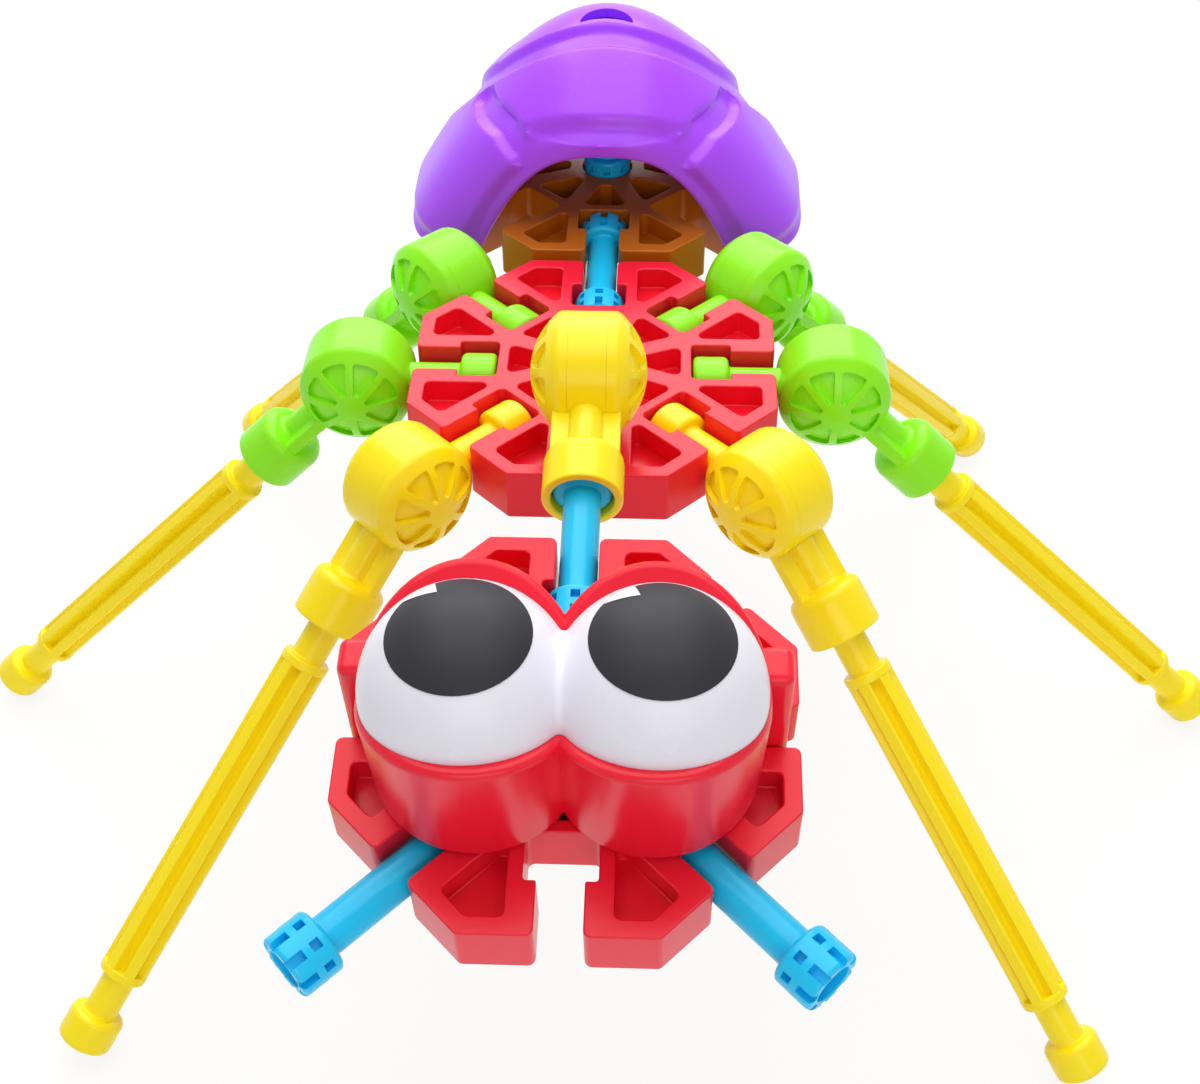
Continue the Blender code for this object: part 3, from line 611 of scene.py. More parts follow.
def plastic(colour):
    name = "Plastic " + colour
    material = bpy.data.materials.get(name)
    if material:
        return material
    settings = bpy.context.scene.snap_kit.plastics
    material = bpy.data.materials.new(name)
    material.use_nodes = True
    nodes = material.node_tree.nodes
    links = material.node_tree.links
    shader = nodes["Principled BSDF"]
    shader.inputs["IOR"].default_value = settings.refraction
    shader.inputs["Specular IOR Level"].default_value = settings.gloss
    finish = nodes.new("ShaderNodeGroup")
    finish.node_tree = finish_group(settings)
    finish.inputs["Colour"].default_value = (*getattr(settings, colour), 1)
    finish.inputs["Mottle"].default_value = settings.mottle
    rough = settings.pupil_roughness if colour == "black" else settings.roughness
    finish.inputs["Roughness"].default_value = rough
    bump = nodes.new("ShaderNodeBump")
    bump.inputs["Strength"].default_value = settings.grain_strength
    bump.inputs["Distance"].default_value = settings.grain_depth
    links.new(finish.outputs["Colour"], shader.inputs["Base Color"])
    links.new(finish.outputs["Roughness"], shader.inputs["Roughness"])
    links.new(finish.outputs["Height"], bump.inputs["Height"])
    links.new(bump.outputs["Normal"], shader.inputs["Normal"])
    return material


def steel():
    """Plain drawn steel for the hinge pins."""
    settings = bpy.context.scene.snap_kit.plastics
    material = bpy.data.materials.new("Pin steel")
    material.use_nodes = True
    shader = material.node_tree.nodes["Principled BSDF"]
    shader.inputs["Base Color"].default_value = (*settings.steel, 1)
    shader.inputs["Metallic"].default_value = 1.0
    shader.inputs["Roughness"].default_value = settings.steel_roughness
    return material


def hub_pockets(hub, rod):
    """Half outlines of the trapezium and the kite pocket in one sixteenth of a hub."""
    half = HUB_TURN / 2
    near = rod.knob / 2 + rod.gap + hub.boss_wall
    far = hub.seat - rod.knob_length / 2 - rod.gap - hub.end_wall
    spoke = hub.spoke_wall / 2 / math.cos(half)
    trapezium = rounded([
        (near, 0),
        (near, near * math.tan(half) - spoke, hub.pocket_corner / 2),
        (far, far * math.tan(half) - spoke, hub.pocket_corner),
        (far, 0),
    ])
    side = rod.knob / 2 + rod.gap + hub.side_wall
    flat = box_size("thorax_hub").x / 2 - hub.rim_wall
    ridge = Vector((math.cos(half), math.sin(half)))
    nose = ridge * (side / math.sin(half))
    tip = ridge * (flat / math.cos(half))
    corner = Vector((flat, side))
    beyond = corner.reflect(Vector((-ridge.y, ridge.x)))
    middle = ARC_STEPS // 2
    kite = fillet(beyond, tip, corner, hub.pocket_corner)[middle:]
    kite += fillet(tip, corner, nose, hub.pocket_corner)
    kite += fillet(corner, nose, beyond, hub.pocket_corner)[:middle + 1]
    return trapezium, kite


def hub_sector(hub, rod):
    """Outline of the hub's flat top in one sixteenth, from a slot's middle to a corner's."""
    half = HUB_TURN / 2
    ridge = Vector((math.cos(half), math.sin(half)))
    flat = box_size("thorax_hub").x / 2
    socket = rod.knob / 2 + rod.gap
    channel = rod.shaft / 2 + rod.gap
    pocket_in = hub.seat - rod.knob_length / 2 - rod.gap
    pocket_out = hub.seat + rod.knob_length / 2 + rod.gap
    trapezium, kite = hub_pockets(hub, rod)
    slot = rounded([
        (pocket_in, 0),
        (pocket_in, socket, hub.pocket_corner),
        (pocket_out, socket, hub.pocket_corner / 2),
        (pocket_out, channel, hub.step_corner),
        (flat, channel, hub.corner),
        (flat, flat * math.tan(half)),
    ])[:-1]
    low = Vector((flat, channel))
    corner = Vector((flat, flat * math.tan(half)))
    beyond = low.reflect(Vector((-ridge.y, ridge.x)))
    slot += fillet(low, corner, beyond, hub.corner)[:ARC_STEPS // 2 + 1]
    boss = [ridge.slerp(X_AXIS.to_2d(), step / ARC_STEPS) * socket for step in range(ARC_STEPS + 1)]
    return trapezium + slot + kite + boss[:-1] + [Vector((socket, 0))]


def edge_loops(edges):
    """Edges sorted into connected loops."""
    waiting = set(edges)
    loops = []
    while waiting:
        loop = []
        queue = [waiting.pop()]
        while queue:
            edge = queue.pop()
            loop.append(edge)
            near = [other for vert in edge.verts for other in vert.link_edges if other in waiting]
            waiting.difference_update(near)
            queue += near
        loops.append(loop)
    return loops


def drawn_down(bm, loop, height, radius=None):
    """Extrudes an edge loop to a height and returns its new edges."""
    lifted = bmesh.ops.extrude_edge_only(bm, edges=loop)["geom"]
    for vert in (item for item in lifted if isinstance(item, bmesh.types.BMVert)):
        if radius:
            vert.co.xy = vert.co.xy.normalized() * radius
        vert.co.z = height
    edges = [item for item in lifted if isinstance(item, bmesh.types.BMEdge)]
    return [edge for edge in edges if all(abs(vert.co.z - height) < WELD for vert in edge.verts)]


def hub_moulding(hub, rod):
    """Octagon hub with eight stepped slots, pocketed on both faces."""
    top = box_size("thorax_hub").z / 2
    socket = rod.knob / 2 + rod.gap
    flat = box_size("thorax_hub").x / 2
    bm = bmesh.new()
    bm.faces.new([bm.verts.new((point.x, point.y, top)) for point in hub_sector(hub, rod)])
    bmesh.ops.mirror(bm, geom=everything(bm), axis="Y", merge_dist=WELD)
    bmesh.ops.spin(
        bm,
        geom=everything(bm),
        cent=(0, 0, 0),
        axis=(0, 0, 1),
        angle=2 * math.pi - HUB_TURN,
        steps=HUB_SIDES - 1,
        use_duplicate=True,
    )
    bmesh.ops.remove_doubles(bm, verts=bm.verts, dist=WELD)
    for loop in edge_loops([edge for edge in bm.edges if edge.is_boundary]):
        reach = max(vert.co.xy.length for edge in loop for vert in edge.verts)
        if reach >= flat:
            drawn_down(bm, loop, 0)
        elif reach > socket + WELD:
            floor = drawn_down(bm, loop, hub.web / 2)
            bmesh.ops.contextual_create(bm, geom=floor)
        else:
            seat = drawn_down(bm, loop, hub.centre_web / 2)
            bore = drawn_down(bm, seat, hub.centre_web / 2, rod.shaft / 2 + rod.gap)
            drawn_down(bm, bore, 0)
    bmesh.ops.mirror(bm, geom=everything(bm), axis="Z", merge_dist=WELD)
    return softened(cleaned(bm), hub.edge, segments=3)


def knob_cutter(rod, end):
    """Windows and notches round the knob whose end face is at a height."""
    shoulder = end - rod.knob_length
    inner = rod.knob / 2 - rod.window_depth
    outer = rod.knob
    half = rod.window / 2
    parts = []
    for index in range(KNOB_WINDOWS):
        turn = Matrix.Rotation(2 * math.pi * index / KNOB_WINDOWS, 4, "Z")
        window = ((inner, -half, shoulder + rod.window_low), (outer, half, shoulder + rod.window_high))
        notch = ((inner, -half, shoulder + rod.notch), (outer, half, end + rod.knob))
        parts += [moved(block(*corners), turn) for corners in (window, notch)]
    return joined(parts)


def short_rod(rod):
    """Rod with a hollow, windowed knob at each end, along Z."""
    end = rod.span / 2 + rod.knob_length / 2
    shoulder = end - rod.knob_length
    edge = rod.knob_edge
    half = [
        (0, end - rod.bore_depth / 2),
        (rod.pip / 2, end - rod.bore_depth / 2, edge / 3),
        (rod.pip / 2, end - rod.bore_depth, edge / 4),
        (rod.bore / 2, end - rod.bore_depth, edge / 4),
        (rod.bore / 2, end, edge / 3),
        (rod.knob / 2, end, edge),
        (rod.knob / 2, shoulder, edge),
        (rod.shaft / 2, shoulder, edge / 2),
    ]
    bm = turned(rounded(both_ends(half)))
    cutter = knob_cutter(rod, end)
    other = moved(cutter.copy(), Matrix.Rotation(math.pi, 4, "X"))
    return combined(bm, joined([cutter, other]), "DIFFERENCE")


def leg_section(rod):
    """Outline across the ribs of a leg rod."""
    crest = math.sqrt(rod.rib_reach ** 2 - (rod.rib_width / 2) ** 2)
    half = rod.rib_width / 2
    corners = []
    for index in range(LEG_RIBS):
        turn = Matrix.Rotation(2 * math.pi * index / LEG_RIBS + math.pi / 2, 2)
        across = Matrix.Rotation(2 * math.pi * (index + 0.5) / LEG_RIBS + math.pi / 2, 2)
        for spot in ((rod.rib_foot, -half), (crest, -half), (crest, half), (rod.rib_foot, half)):
            corners.append((*(turn @ Vector(spot)), rod.rib_edge))
        corners.append(tuple(across @ Vector((rod.trough, 0))))
    return rounded(corners, closed=True)


def leg_rod(rod):
    """Leg rod along Z with a knob and a collar at each end and ribs between."""
    end = rod.leg_length / 2
    shoulder = end - rod.knob_length
    collar = shoulder - rod.leg_shaft
    inside = collar - rod.collar
    half = [
        (0, end),
        (rod.leg_knob / 2, end, rod.leg_edge),
        (rod.leg_knob / 2, shoulder, rod.leg_edge),
        (rod.shaft / 2, shoulder, rod.rib_edge),
        (rod.shaft / 2, collar, rod.rib_edge),
        (rod.rib_reach, collar, rod.rib_edge),
        (rod.rib_reach, inside, rod.rib_edge),
        (rod.trough, inside),
    ]
    ribs = extruded(leg_section(rod), -inside - rod.collar / 2, inside + rod.collar / 2)
    return combined(turned(rounded(both_ends(half))), ribs, "UNION")


def dome_points(joint, drop):
    """Profile of a drum's dome from its pole outwards, lowered by a drop."""
    radius = joint.drum / 2
    rise = (joint.drum_length - joint.band) / 2
    ball = (radius ** 2 + rise ** 2) / (2 * rise)
    reach = math.asin(radius / ball)
    top = joint.drum_length / 2 - ball - drop
    angles = [reach * step / DOME_STEPS for step in range(DOME_STEPS + 1)]
    return [(ball * math.sin(angle), top + ball * math.cos(angle)) for angle in angles]


def dome_windows(joint):
    """Cutter for the ring of windows in a dome; its floors follow the dome."""
    half = joint.spoke / 2
    step = 2 * math.pi / DRUM_WINDOWS
    near = Vector((math.sqrt(joint.hole_near ** 2 - half ** 2), half))
    far = Vector((math.sqrt(joint.hole_far ** 2 - half ** 2), half))
    ridge = Vector((math.cos(step / 2), math.sin(step / 2)))
    normal = Vector((-ridge.y, ridge.x))
    middle = ridge * joint.hole_far
    corner = joint.hole_corner
    outline = rounded([
        (*near, corner / 2),
        (*far, corner),
        tuple(middle),
        (*far.reflect(normal), corner),
        (*near.reflect(normal), corner / 2),
    ], closed=True)
    prism = extruded(outline, joint.band / 2, joint.drum_length)
    turns = [Matrix.Rotation(step * index, 4, "Z") for index in range(DRUM_WINDOWS)]
    prisms = joined([moved(prism.copy(), turn) for turn in turns])
    prism.free()
    floor = dome_points(joint, joint.hole_depth)
    floor += [(floor[-1][0], 0), (0, 0)]
    return combined(prisms, turned(floor), "DIFFERENCE")


def cheek(joint):
    """One domed cheek of the drum, from the disc outwards along Z."""
    dome = dome_points(joint, 0)
    rim = dome.pop()
    profile = rounded(dome + [(*rim, joint.rim), (rim[0], joint.disc / 2), (0, joint.disc / 2)])
    bm = combined(turned(profile), dome_windows(joint), "DIFFERENCE")
    return softened(bm, joint.hole_corner / 2, sharp=WINDOW_SHARP)


def arm_stem(joint, rod):
    """Rib, flange and cup of an arm, along X with the hinge along Z."""
    socket = rod.knob / 2 + rod.gap
    cup = socket + joint.cup_wall
    floor = joint.cup_reach - joint.cup_recess - rod.knob_length - rod.gap
    shoulder = floor - joint.cup_base
    stem = turned(rounded([
        (0, 0),
        (joint.rib / 2, 0),
        (joint.rib / 2, shoulder, joint.cup_round / 2),
        (cup, shoulder, joint.cup_round),
        (cup, joint.cup_reach, joint.lip),
        (socket, joint.cup_reach, joint.lip),
        (socket, floor, joint.lip),
        (0, floor),
    ]))
    wide = joint.flange_width / 2
    thick = joint.flange_thickness / 2
    flange = softened(block((-thick, -wide, 0), (thick, wide, shoulder + joint.cup_base)), joint.lip)
    stem = combined(stem, flange, "UNION")
    half = joint.disc / 2
    reach = joint.drum / 2 + HAIR
    room = turned([(0, -half), (reach, -half), (reach, half), (0, half)])
    along_x = Matrix.Rotation(math.pi / 2, 4, "X") @ Matrix.Rotation(math.pi / 2, 4, "Y")
    return combined(moved(stem, along_x), room, "DIFFERENCE")


def joint_arm(joint, rod):
    """Arm with its two cheeks, along X with the hinge along Z."""
    upper = cheek(joint)
    lower = moved(upper.copy(), Matrix.Rotation(math.pi, 4, "X"))
    return combined(arm_stem(joint, rod), joined([upper, lower]), "UNION")


def joint_tab(joint, rod, trimmed):
    """Disc with a shank and a knob on its -X side, hinge along Z."""
    half = joint.disc / 2 - HAIR
    reach = joint.drum / 2
    disc = turned([(0, half), (reach, half), (reach, -half), (0, -half)])
    near = joint.tab_length - rod.knob_length / 2
    far = joint.tab_length + rod.knob_length / 2
    shank = turned(rounded([
        (0, 0),
        (rod.shaft / 2, 0),
        (rod.shaft / 2, near, joint.tab_edge / 2),
        (rod.knob / 2, near, joint.tab_edge),
        (rod.knob / 2, far, joint.tab_edge),
        (0, far),
    ]))
    if trimmed:
        wide = joint.drum
        shank = combined(shank, block((-wide, -half, -wide), (wide, half, 2 * wide)), "INTERSECT")
    shank = moved(shank, Matrix.Rotation(-math.pi / 2, 4, "Y"))
    return combined(disc, shank, "UNION")


def peanut(head, room):
    """The two eyeballs and the soft crease between them, turned about the line through both."""
    ball = head.eye + room
    crease = head.crease
    middle = math.sqrt((ball + crease) ** 2 - head.eye_side ** 2)
    meet = math.atan2(middle, head.eye_side)
    steps = 2 * DOME_STEPS
    profile = []
    for step in range(steps + 1):
        angle = (math.pi - meet) * step / steps
        profile.append((ball * math.sin(angle), head.eye_side + ball * math.cos(angle)))
    dip = math.pi / 2 - meet
    for step in range(1, ARC_STEPS + 1):
        angle = dip * (1 - step / ARC_STEPS)
        profile.append((middle - crease * math.cos(angle), crease * math.sin(angle)))
    profile += [(radius, -height) for radius, height in reversed(profile[:-1])]
    centre = Vector((0, -head.eye_ahead, head.eye_lift))
    return moved(turned(profile), Matrix.Translation(centre) @ Matrix.Rotation(math.pi / 2, 4, "Y"))


def mask_loop(bm, head, inset, height_at):
    """Edges of the mask's figure-eight outline, moved in from the cups; the height follows Y."""
    radius = head.cup - inset
    half = math.pi - math.acos(head.cup_side / radius)
    points = []
    for side in (1, -1):
        for step in range(TURN_STEPS):
            angle = half * (2 * step / TURN_STEPS - 1)
            x = side * (head.cup_side + radius * math.cos(angle))
            y = side * radius * math.sin(angle) - head.cup_ahead
            points.append((x, y, height_at(y)))
    return ring(bm, points)


def mask_turret(head, base):
    """Figure-eight block with a rounded foot and two lids that rise to the front and the back."""
    front, back = math.tan(head.lid_front), math.tan(head.lid_back)

    def lid(y):
        ahead = -head.cup_ahead - y
        return head.lid_lift + (front * ahead if ahead > 0 else -back * ahead)

    bm = bmesh.new()
    loops = []
    turns = [math.pi / 2 * step / ARC_STEPS for step in range(ARC_STEPS + 1)]
    for turn in turns:
        inset = head.taper + head.foot_round * (1 - math.sin(turn))
        height = base + head.foot_round * (1 - math.cos(turn))
        loops.append(mask_loop(bm, head, inset, lambda y: height))
    for turn in turns:
        inset = head.lid_round * (1 - math.cos(turn))
        drop = head.lid_round * (1 - math.sin(turn))
        loops.append(mask_loop(bm, head, inset, lambda y: lid(y) - drop))
    skinned(bm, loops)
    bmesh.ops.contextual_create(bm, geom=loops[0])
    bmesh.ops.contextual_create(bm, geom=loops[-1])
    top = {vert for edge in loops[-1] for vert in edge.verts}
    meeting = [vert for vert in top if abs(vert.co.y + head.cup_ahead) < WELD]
    bmesh.ops.connect_verts(bm, verts=meeting)
    return cleaned(bm)


def eye_mask(head):
    """Turret whose lids close round the eyes, with a strap on each side."""
    base = box_size("thorax_hub").z / 2 + head.foot
    bm = mask_turret(head, base)
    half = head.strap_width / 2
    for side in (-1, 1):
        inner, outer = sorted((side * (head.strap_out - head.strap), side * head.strap_out))
        low = base - head.foot - head.strap_dip
        strap = block((inner, -half, low), (outer, half, head.strap_top))
        bm = combined(bm, softened(strap, head.strap_edge, segments=4), "UNION")
        inner, outer = sorted((side * head.cup_side, side * (head.strap_out - head.strap / 2)))
        bridge = block((inner, -half, base), (outer, half, head.strap_top - head.strap_edge))
        bm = combined(bm, bridge, "UNION")
    return combined(bm, peanut(head, head.eye_room), "DIFFERENCE")


def pupil_place(head, side):
    """Placement of a pupil's frame, with Z out of the eyeball."""
    middle = Vector((side * head.eye_side, -head.eye_ahead, head.eye_lift))
    lean = Matrix.Rotation(side * head.pupil_spread, 4, "Y") @ Matrix.Rotation(-head.pupil_tilt, 4, "X")
    return Matrix.Translation(middle) @ lean


def eye_cap(head, thickness, stand):
    """Thin cap of a pupil's width that stands a little over an eyeball, with its pole along Z."""
    outer = head.eye + stand
    inner = outer - thickness
    reach = math.asin(head.pupil / outer)
    angles = [reach * step / DOME_STEPS for step in range(DOME_STEPS + 1)]
    profile = [(outer * math.sin(angle), outer * math.cos(angle)) for angle in angles]
    profile += [(inner * math.sin(angle), inner * math.cos(angle)) for angle in reversed(angles)]
    return turned(profile)


def pupil_glint(head):
    """Small white wedge that lies on a pupil near its edge."""
    outline = []
    for step in range(DOME_STEPS + 1):
        angle = head.glint_from + (head.glint_to - head.glint_from) * step / DOME_STEPS
        outline.append((head.glint_out * math.cos(angle), head.glint_out * math.sin(angle)))
    tip = head.glint_tip
    outline.append((head.glint_in * math.cos(tip), head.glint_in * math.sin(tip)))
    cap = eye_cap(head, head.glint_thickness, head.glint_stand)
    return combined(cap, extruded(outline, 0, 2 * head.eye), "INTERSECT")


def shell_point(shell, level, angle):
    """A point of the plain dome at a share of its reach and an angle about Z."""
    half_x = shell.half_x * level
    widest = shell.half_y / shell.deep
    half_y = min(half_x * shell.deep, shell.half_y)
    share = max(0.0, (half_x - widest) / (shell.half_x - widest))
    power = 2 / (2 + (shell.square - 2) * math.sqrt(share))
    c, s = math.cos(angle), math.sin(angle)
    x = half_x * math.copysign(abs(c) ** power, c)
    y = half_y * math.copysign(abs(s) ** power, s)
    return Vector((x, y, shell.rim + shell.height * (1 - level ** shell.bulge)))


def arch_clear(shell, point):
    """Distance of a point over the arch's edge, seen from the front."""
    share = abs(point.x) / shell.arch_half
    power = shell.arch_power
    slope = shell.arch_height / shell.arch_half * power * share ** (power - 1)
    over = point.z - shell.rim - shell.arch_height * (1 - share ** power)
    return over / math.hypot(1, slope)


def arch_level(shell, angle):
    """Share of the dome's reach at which a column meets the arch or the rim."""
    low, high = 0.0, 1.0
    if arch_clear(shell, shell_point(shell, high, angle)) >= 0:
        return high
    for _ in range(FIND_STEPS):
        middle = (low + high) / 2
        above = arch_clear(shell, shell_point(shell, middle, angle)) > 0
        low, high = (middle, high) if above else (low, middle)
    return low


def eased(share):
    """A share from 0 to 1 with a soft start and a soft end."""
    share = max(0.0, min(1.0, share))
    return share * share * (3 - 2 * share)


def line_side(point, line):
    """Distance of a point from a chain of points on the dome, above zero towards the middle."""
    best = math.inf
    for start, end in zip(line, line[1:]):
        along = end - start
        share = max(0.0, min(1.0, (point - start).dot(along) / along.length_squared))
        distance = (point - start - along * share).length
        if distance < abs(best):
            best = math.copysign(distance, along.cross(start).dot(point - start))
    return best


def cap_clear(shell, point):
    """Distance of a point inside the cap's edge, seen from above."""
    ahead = max(0.0, shell.cap_middle - point.y) / shell.cap_length
    return shell.cap_length * (1 - math.hypot(point.x / shell.cap_half, ahead))


def panel_lift(shell, point, groove):
    """How far the panels stand proud of the plain dome at one of its points."""
    arch = arch_clear(shell, point)
    inside = cap_clear(shell, point)
    if inside > 0:
        return shell.cap * eased(min(inside, arch - shell.border_front) / shell.shoulder)
    across = line_side(Vector((abs(point.x), point.y, point.z)), groove)
    border = shell.border_front if across > 0 else shell.border_side
    clear = min(-inside - shell.cap_groove, abs(across) - shell.groove / 2, arch - border)
    clear = min(clear, point.z - shell.rim - shell.border_side)
    return shell.panel * eased(clear / shell.shoulder)


def rim_drop(shell, point):
    """How far the rounding of the rim and the arch takes the surface back at a point."""
    near = shell.edge - min(arch_clear(shell, point), point.z - shell.rim)
    near = max(0.0, min(shell.edge, near))
    return shell.edge - math.sqrt(shell.edge ** 2 - near ** 2)


def shell_columns(shell):
    """Angles of the dome's columns, closer together where the arch rises steeply."""
    step = 2 * math.pi / SHELL_COLUMNS
    angles = []
    for column in range(SHELL_COLUMNS):
        rise = arch_level(shell, step * (column + 1)) - arch_level(shell, step * column)
        parts = 1 + round(abs(rise) / ARCH_STEP)
        angles += [step * (column + part / parts) for part in range(parts)]
    return angles


def groove_points(shell):
    """Points on the dome along the groove between the front panel and a side panel."""
    points = []
    for (level, angle), (far, turn) in zip(GROOVE_LINE, GROOVE_LINE[1:]):
        for step in range(ARC_STEPS):
            share = step / ARC_STEPS
            here = math.radians(angle + (turn - angle) * share)
            points.append(shell_point(shell, level + (far - level) * share, here))
    return points


def plain_dome(shell):
    """Outer surface of the dome without its panels, down to the rim and the arches."""
    angles = shell_columns(shell)
    ends = [arch_level(shell, angle) for angle in angles]
    widest = shell.half_y / shell.deep / shell.half_x
    rows = [(widest * row / SHELL_TOP_ROWS, 0.0) for row in range(1, SHELL_TOP_ROWS + 1)]
    rows += [(widest, row / SHELL_SIDE_ROWS) for row in range(1, SHELL_SIDE_ROWS)]
    rows += [(widest, 1 - RIM_SHARE * (1 - row / RIM_ROWS)) for row in range(1, RIM_ROWS + 1)]
    bm = bmesh.new()
    loops = []
    for level, share in rows:
        levels = [level + (end - level) * share for end in ends]
        loops.append(ring(bm, [shell_point(shell, *place) for place in zip(levels, angles)]))
    skinned(bm, loops)
    bmesh.ops.contextual_create(bm, geom=loops[0])
    bmesh.ops.recalc_face_normals(bm, faces=bm.faces)
    return bm


def shell_moulding(shell):
    """Domed cover with raised panels and an arch front and back."""
    bm = plain_dome(shell)
    groove = groove_points(shell)
    outer = bm.verts[:]
    normals = [vert.normal.copy() for vert in outer]
    lifts = [panel_lift(shell, vert.co, groove) for vert in outer]
    drops = [rim_drop(shell, vert.co) for vert in outer]
    inner = bmesh.ops.duplicate(bm, geom=everything(bm))["vert_map"]
    for vert, normal, lift, drop in zip(outer, normals, lifts, drops):
        inner[vert].co += normal * (lift - shell.wall + drop)
        vert.co += normal * (lift - drop)
    bmesh.ops.bridge_loops(bm, edges=[edge for edge in bm.edges if edge.is_boundary])
    return cleaned(bm)


def shell_socket(shell, rod):
    """Closed tube under the shell's top that sits on the peg."""
    peg = Vector(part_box("shell_peg")[1]).z - box_centre("abdomen_hub").z
    socket = rod.knob / 2 + rod.gap
    outer = socket + shell.wall
    top = shell.rim + shell.height - shell.socket_drop
    return turned(rounded([
        (0, top),
        (outer, top),
        (outer, peg - rod.knob_length, rod.knob_edge / 2),
        (socket, peg - rod.knob_length, rod.knob_edge / 2),
        (socket, peg + rod.gap),
        (0, peg + rod.gap),
    ]))


def shell_slot(shell):
    """Cutter for the opening at the shell's top: straight in front, round behind."""
    outline = []
    for step in range(DOME_STEPS + 1):
        turn = math.pi * step / DOME_STEPS
        behind = shell.slot_length * math.sin(turn)
        outline.append((shell.slot_half * math.cos(turn), shell.slot_front + behind))
    top = shell.rim + shell.height
    return extruded(outline, top - shell.slot_depth, top + shell.slot_depth)


class SNAPKIT_OT_hubs(bpy.types.Operator):
    """Add the three slotted octagon hubs"""

    bl_idname = "snap_kit.add_hubs"
    bl_label = "Add hubs"

    def execute(self, context):
        kit = context.scene.snap_kit
        bm = hub_moulding(kit.hub, kit.rod)
        for node, colour in HUBS:
            place = HEAD_PLACE if node == "head_hub" else Matrix.Translation(box_centre(node))
            add_piece(node, moved(bm.copy(), place), colour)
        bm.free()
        return {"FINISHED"}


class SNAPKIT_OT_rods(bpy.types.Operator):
    """Add the five short blue rods"""

    bl_idname = "snap_kit.add_rods"
    bl_label = "Add short rods"

    def execute(self, context):
        bm = short_rod(context.scene.snap_kit.rod)
        left = HEAD_TURN @ Vector((-1, -1, 0)).normalized()
        right = HEAD_TURN @ Vector((1, -1, 0)).normalized()
        axes = (Y_AXIS, Z_AXIS, HEAD_BACK, left, right)
        for node, axis in zip(SHORT_RODS, axes):
            place = placed(box_centre(node), axis.orthogonal().normalized(), axis)
            add_piece(node, moved(bm.copy(), place), "blue")
        bm.free()
        return {"FINISHED"}


class SNAPKIT_OT_joints(bpy.types.Operator):
    """Add the six hip joints and the neck joint"""

    bl_idname = "snap_kit.add_joints"
    bl_label = "Add joints"

    def execute(self, context):
        kit = context.scene.snap_kit
        arm = joint_arm(kit.joint, kit.rod)
        tab = joint_tab(kit.joint, kit.rod, trimmed=False)
        pin_steel = steel()
        for leg, colour in LEGS:
            hip = leg + "_hip"
            middle, axis, out, along = hip_frame(leg)
            add_piece(hip + "_arm", moved(arm.copy(), placed(middle, along, axis)), colour)
            add_piece(hip + "_tab", moved(tab.copy(), placed(middle, out, axis)), colour)
            frame["nodes"][hip + "_pin"].material_slots[0].material = pin_steel
        tab.free()
        neck = JOINTS["neck_pitch"]
        middle, axis = Vector(neck["pos_m"]), Vector(neck["axis"])
        add_piece("neck_arm", moved(arm, placed(middle, -HEAD_BACK, axis)), "yellow")
        tab = joint_tab(kit.joint, kit.rod, trimmed=True)
        add_piece("neck_tab", moved(tab, placed(middle, Z_AXIS, axis)), "yellow")
        frame["nodes"]["neck_pin"].material_slots[0].material = pin_steel
        return {"FINISHED"}


class SNAPKIT_OT_legs(bpy.types.Operator):
    """Add the six ribbed leg rods"""

    bl_idname = "snap_kit.add_legs"
    bl_label = "Add leg rods"

    def execute(self, context):
        kit = context.scene.snap_kit
        bm = leg_rod(kit.rod)
        joint = kit.joint
        start = joint.cup_reach - joint.cup_recess - kit.rod.knob_length
        for leg, _ in LEGS:
            middle, axis, _, along = hip_frame(leg)
            centre = middle + along * (start + kit.rod.leg_length / 2)
            twist = kit.rod.middle_twist if leg.startswith("middle") else 0.0
            place = placed(centre, axis, along) @ Matrix.Rotation(twist, 4, "Z")
            add_piece(leg + "_leg_rod", moved(bm.copy(), place), "yellow")
        bm.free()
        return {"FINISHED"}


class SNAPKIT_OT_head(bpy.types.Operator):
    """Add the eye mask, the eyeballs, the pupils and their glints"""

    bl_idname = "snap_kit.add_head"
    bl_label = "Add mask and eyes"

    def execute(self, context):
        head = context.scene.snap_kit.head
        add_piece("eye_mask", moved(eye_mask(head), HEAD_PLACE), "red")
        add_piece("eye_white", moved(peanut(head, 0), HEAD_PLACE), "white")
        for node, side in (("pupil_left", -1), ("pupil_right", 1)):
            place = HEAD_PLACE @ pupil_place(head, side)
            cap = eye_cap(head, head.pupil_thickness, head.pupil_stand)
            add_piece(node, moved(cap, place), "black")
            add_piece(node + "_glint", moved(pupil_glint(head), place), "white", on=node)
        return {"FINISHED"}


class SNAPKIT_OT_shell(bpy.types.Operator):
    """Add the domed cover"""

    bl_idname = "snap_kit.add_shell"
    bl_label = "Add shell"

    def execute(self, context):
        kit = context.scene.snap_kit
        shell = kit.shell
        bm = shell_moulding(shell)
        bm = joined([combined(bm, shell_slot(shell), "DIFFERENCE"), shell_socket(shell, kit.rod)])
        add_piece("shell", moved(bm, Matrix.Translation(box_centre("abdomen_hub"))), "purple")
        return {"FINISHED"}


def shown_share(tree):
    """A socket that is 1 where the camera, a reflection or a clear piece looks at the background."""
    ray = tree.nodes.new("ShaderNodeLightPath").outputs
    share = ray["Is Camera Ray"]
    for name in ("Is Glossy Ray", "Is Transmission Ray"):
        share = calculated(tree, "MAXIMUM", share, ray[name])
    return share


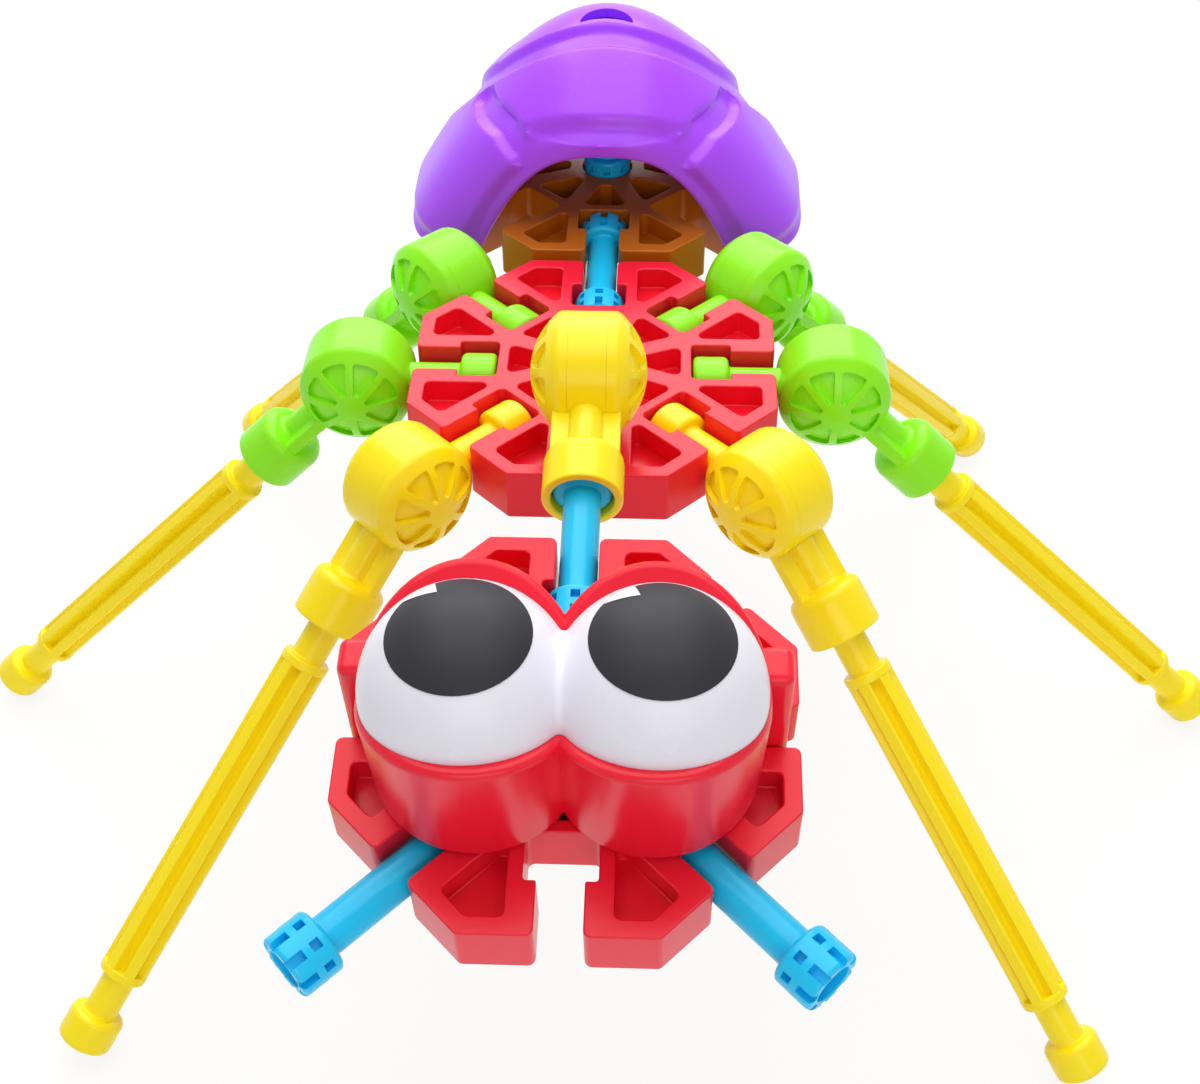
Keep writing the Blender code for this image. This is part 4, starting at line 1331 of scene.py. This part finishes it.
def studio_world(strength):
    """White surroundings at full strength to the eye, dimmer as a light."""
    world = bpy.data.worlds.new("Studio")
    world.use_nodes = True
    tree = world.node_tree
    sky = tree.nodes["Background"]
    sky.inputs["Color"].default_value = (1, 1, 1, 1)
    level = tree.nodes.new("ShaderNodeMapRange")
    level.inputs["To Min"].default_value = strength
    tree.links.new(shown_share(tree), level.inputs["Value"])
    tree.links.new(level.outputs["Result"], sky.inputs["Strength"])
    return world


def floor_material(stage):
    """White floor that stays white to the camera and still takes a soft shadow."""
    material = bpy.data.materials.new("Studio floor")
    material.use_nodes = True
    tree = material.node_tree
    shader = tree.nodes["Principled BSDF"]
    shader.inputs["Base Color"].default_value = (*stage.floor, 1)
    shader.inputs["Roughness"].default_value = stage.floor_roughness
    shader.inputs["Specular IOR Level"].default_value = stage.floor_gloss
    light = tree.nodes.new("ShaderNodeEmission")
    mix = tree.nodes.new("ShaderNodeMixShader")
    glow = calculated(tree, "MULTIPLY", shown_share(tree), stage.floor_glow)
    tree.links.new(glow, mix.inputs["Fac"])
    tree.links.new(shader.outputs["BSDF"], mix.inputs[1])
    tree.links.new(light.outputs["Emission"], mix.inputs[2])
    tree.links.new(mix.outputs["Shader"], tree.nodes["Material Output"].inputs["Surface"])
    return material


def add_area(name, place, extent, power, target):
    """Adds a soft rectangular light aimed at a point."""
    lamp = bpy.data.lights.new(name, "AREA")
    lamp.shape = "RECTANGLE"
    lamp.size, lamp.size_y = extent
    lamp.energy = power
    obj = linked(name, lamp)
    obj.location = place
    obj.rotation_euler = (target - place).to_track_quat("-Z", "Y").to_euler()


class SNAPKIT_OT_stage(bpy.types.Operator):
    """Add the camera, the floor and the lights"""

    bl_idname = "snap_kit.add_stage"
    bl_label = "Add stage"

    def execute(self, context):
        scene = context.scene
        stage = scene.snap_kit.stage
        scene.view_settings.view_transform = "Standard"
        middle = box_centre("thorax_hub")
        self.add_camera(scene, stage, middle)
        self.add_floor(stage)
        scene.world = studio_world(stage.world)
        for name, place, extent, setting in LIGHTS:
            add_area(name, Vector(place), extent, getattr(stage, setting), middle)
        return {"FINISHED"}

    def add_camera(self, scene, stage, middle):
        """The camera, where it was fitted to the thorax hub."""
        lens = bpy.data.cameras.new("Camera")
        lens.lens = stage.lens
        lens.sensor_width = SENSOR_WIDTH
        lens.sensor_fit = "HORIZONTAL"
        level = math.cos(stage.elevation)
        forward = Vector((
            level * math.sin(stage.yaw),
            level * math.cos(stage.yaw),
            -math.sin(stage.elevation),
        ))
        right = Vector((math.cos(stage.yaw), -math.sin(stage.yaw), 0))
        turn = Matrix((right, right.cross(forward), -forward)).transposed()
        roll = Matrix.Rotation(stage.roll, 3, "Z")
        camera = linked("Camera", lens)
        place = Matrix.Translation(middle + Vector((stage.eye_x, stage.eye_y, stage.eye_z)))
        camera.matrix_world = place @ (turn @ roll).to_4x4()
        scene.camera = camera

    def add_floor(self, stage):
        """A plain white floor under the feet."""
        bm = bmesh.new()
        bmesh.ops.create_grid(bm, x_segments=2, y_segments=2, size=stage.floor_half)
        floor = linked("floor", mesh_of(bm, "floor"))
        floor.data.materials.append(floor_material(stage))


STEPS = (
    SNAPKIT_OT_hubs,
    SNAPKIT_OT_rods,
    SNAPKIT_OT_joints,
    SNAPKIT_OT_legs,
    SNAPKIT_OT_head,
    SNAPKIT_OT_shell,
    SNAPKIT_OT_stage,
)


class SNAPKIT_PT_panel(bpy.types.Panel):
    """Buttons for the bug's pieces and its stage"""

    bl_idname = "SNAPKIT_PT_panel"
    bl_label = "Snap-kit bug"
    bl_space_type = "VIEW_3D"
    bl_region_type = "UI"
    bl_category = "Snap Kit"

    def draw(self, context):
        for step in STEPS:
            self.layout.operator(step.bl_idname)


CLASSES = (
    SnapKitHub,
    SnapKitRod,
    SnapKitJoint,
    SnapKitHead,
    SnapKitShell,
    SnapKitPlastics,
    SnapKitStage,
    SnapKit,
    *STEPS,
    SNAPKIT_PT_panel,
)


def register():
    for item in CLASSES:
        bpy.utils.register_class(item)
    bpy.types.Scene.snap_kit = PointerProperty(type=SnapKit)


def unregister():
    del bpy.types.Scene.snap_kit
    for item in reversed(CLASSES):
        bpy.utils.unregister_class(item)


def main():
    """Builds every piece and the stage in order."""
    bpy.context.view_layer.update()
    register()
    bpy.ops.snap_kit.add_hubs()
    bpy.ops.snap_kit.add_rods()
    bpy.ops.snap_kit.add_joints()
    bpy.ops.snap_kit.add_legs()
    bpy.ops.snap_kit.add_head()
    bpy.ops.snap_kit.add_shell()
    bpy.ops.snap_kit.add_stage()


if __name__ == "__main__":
    main()
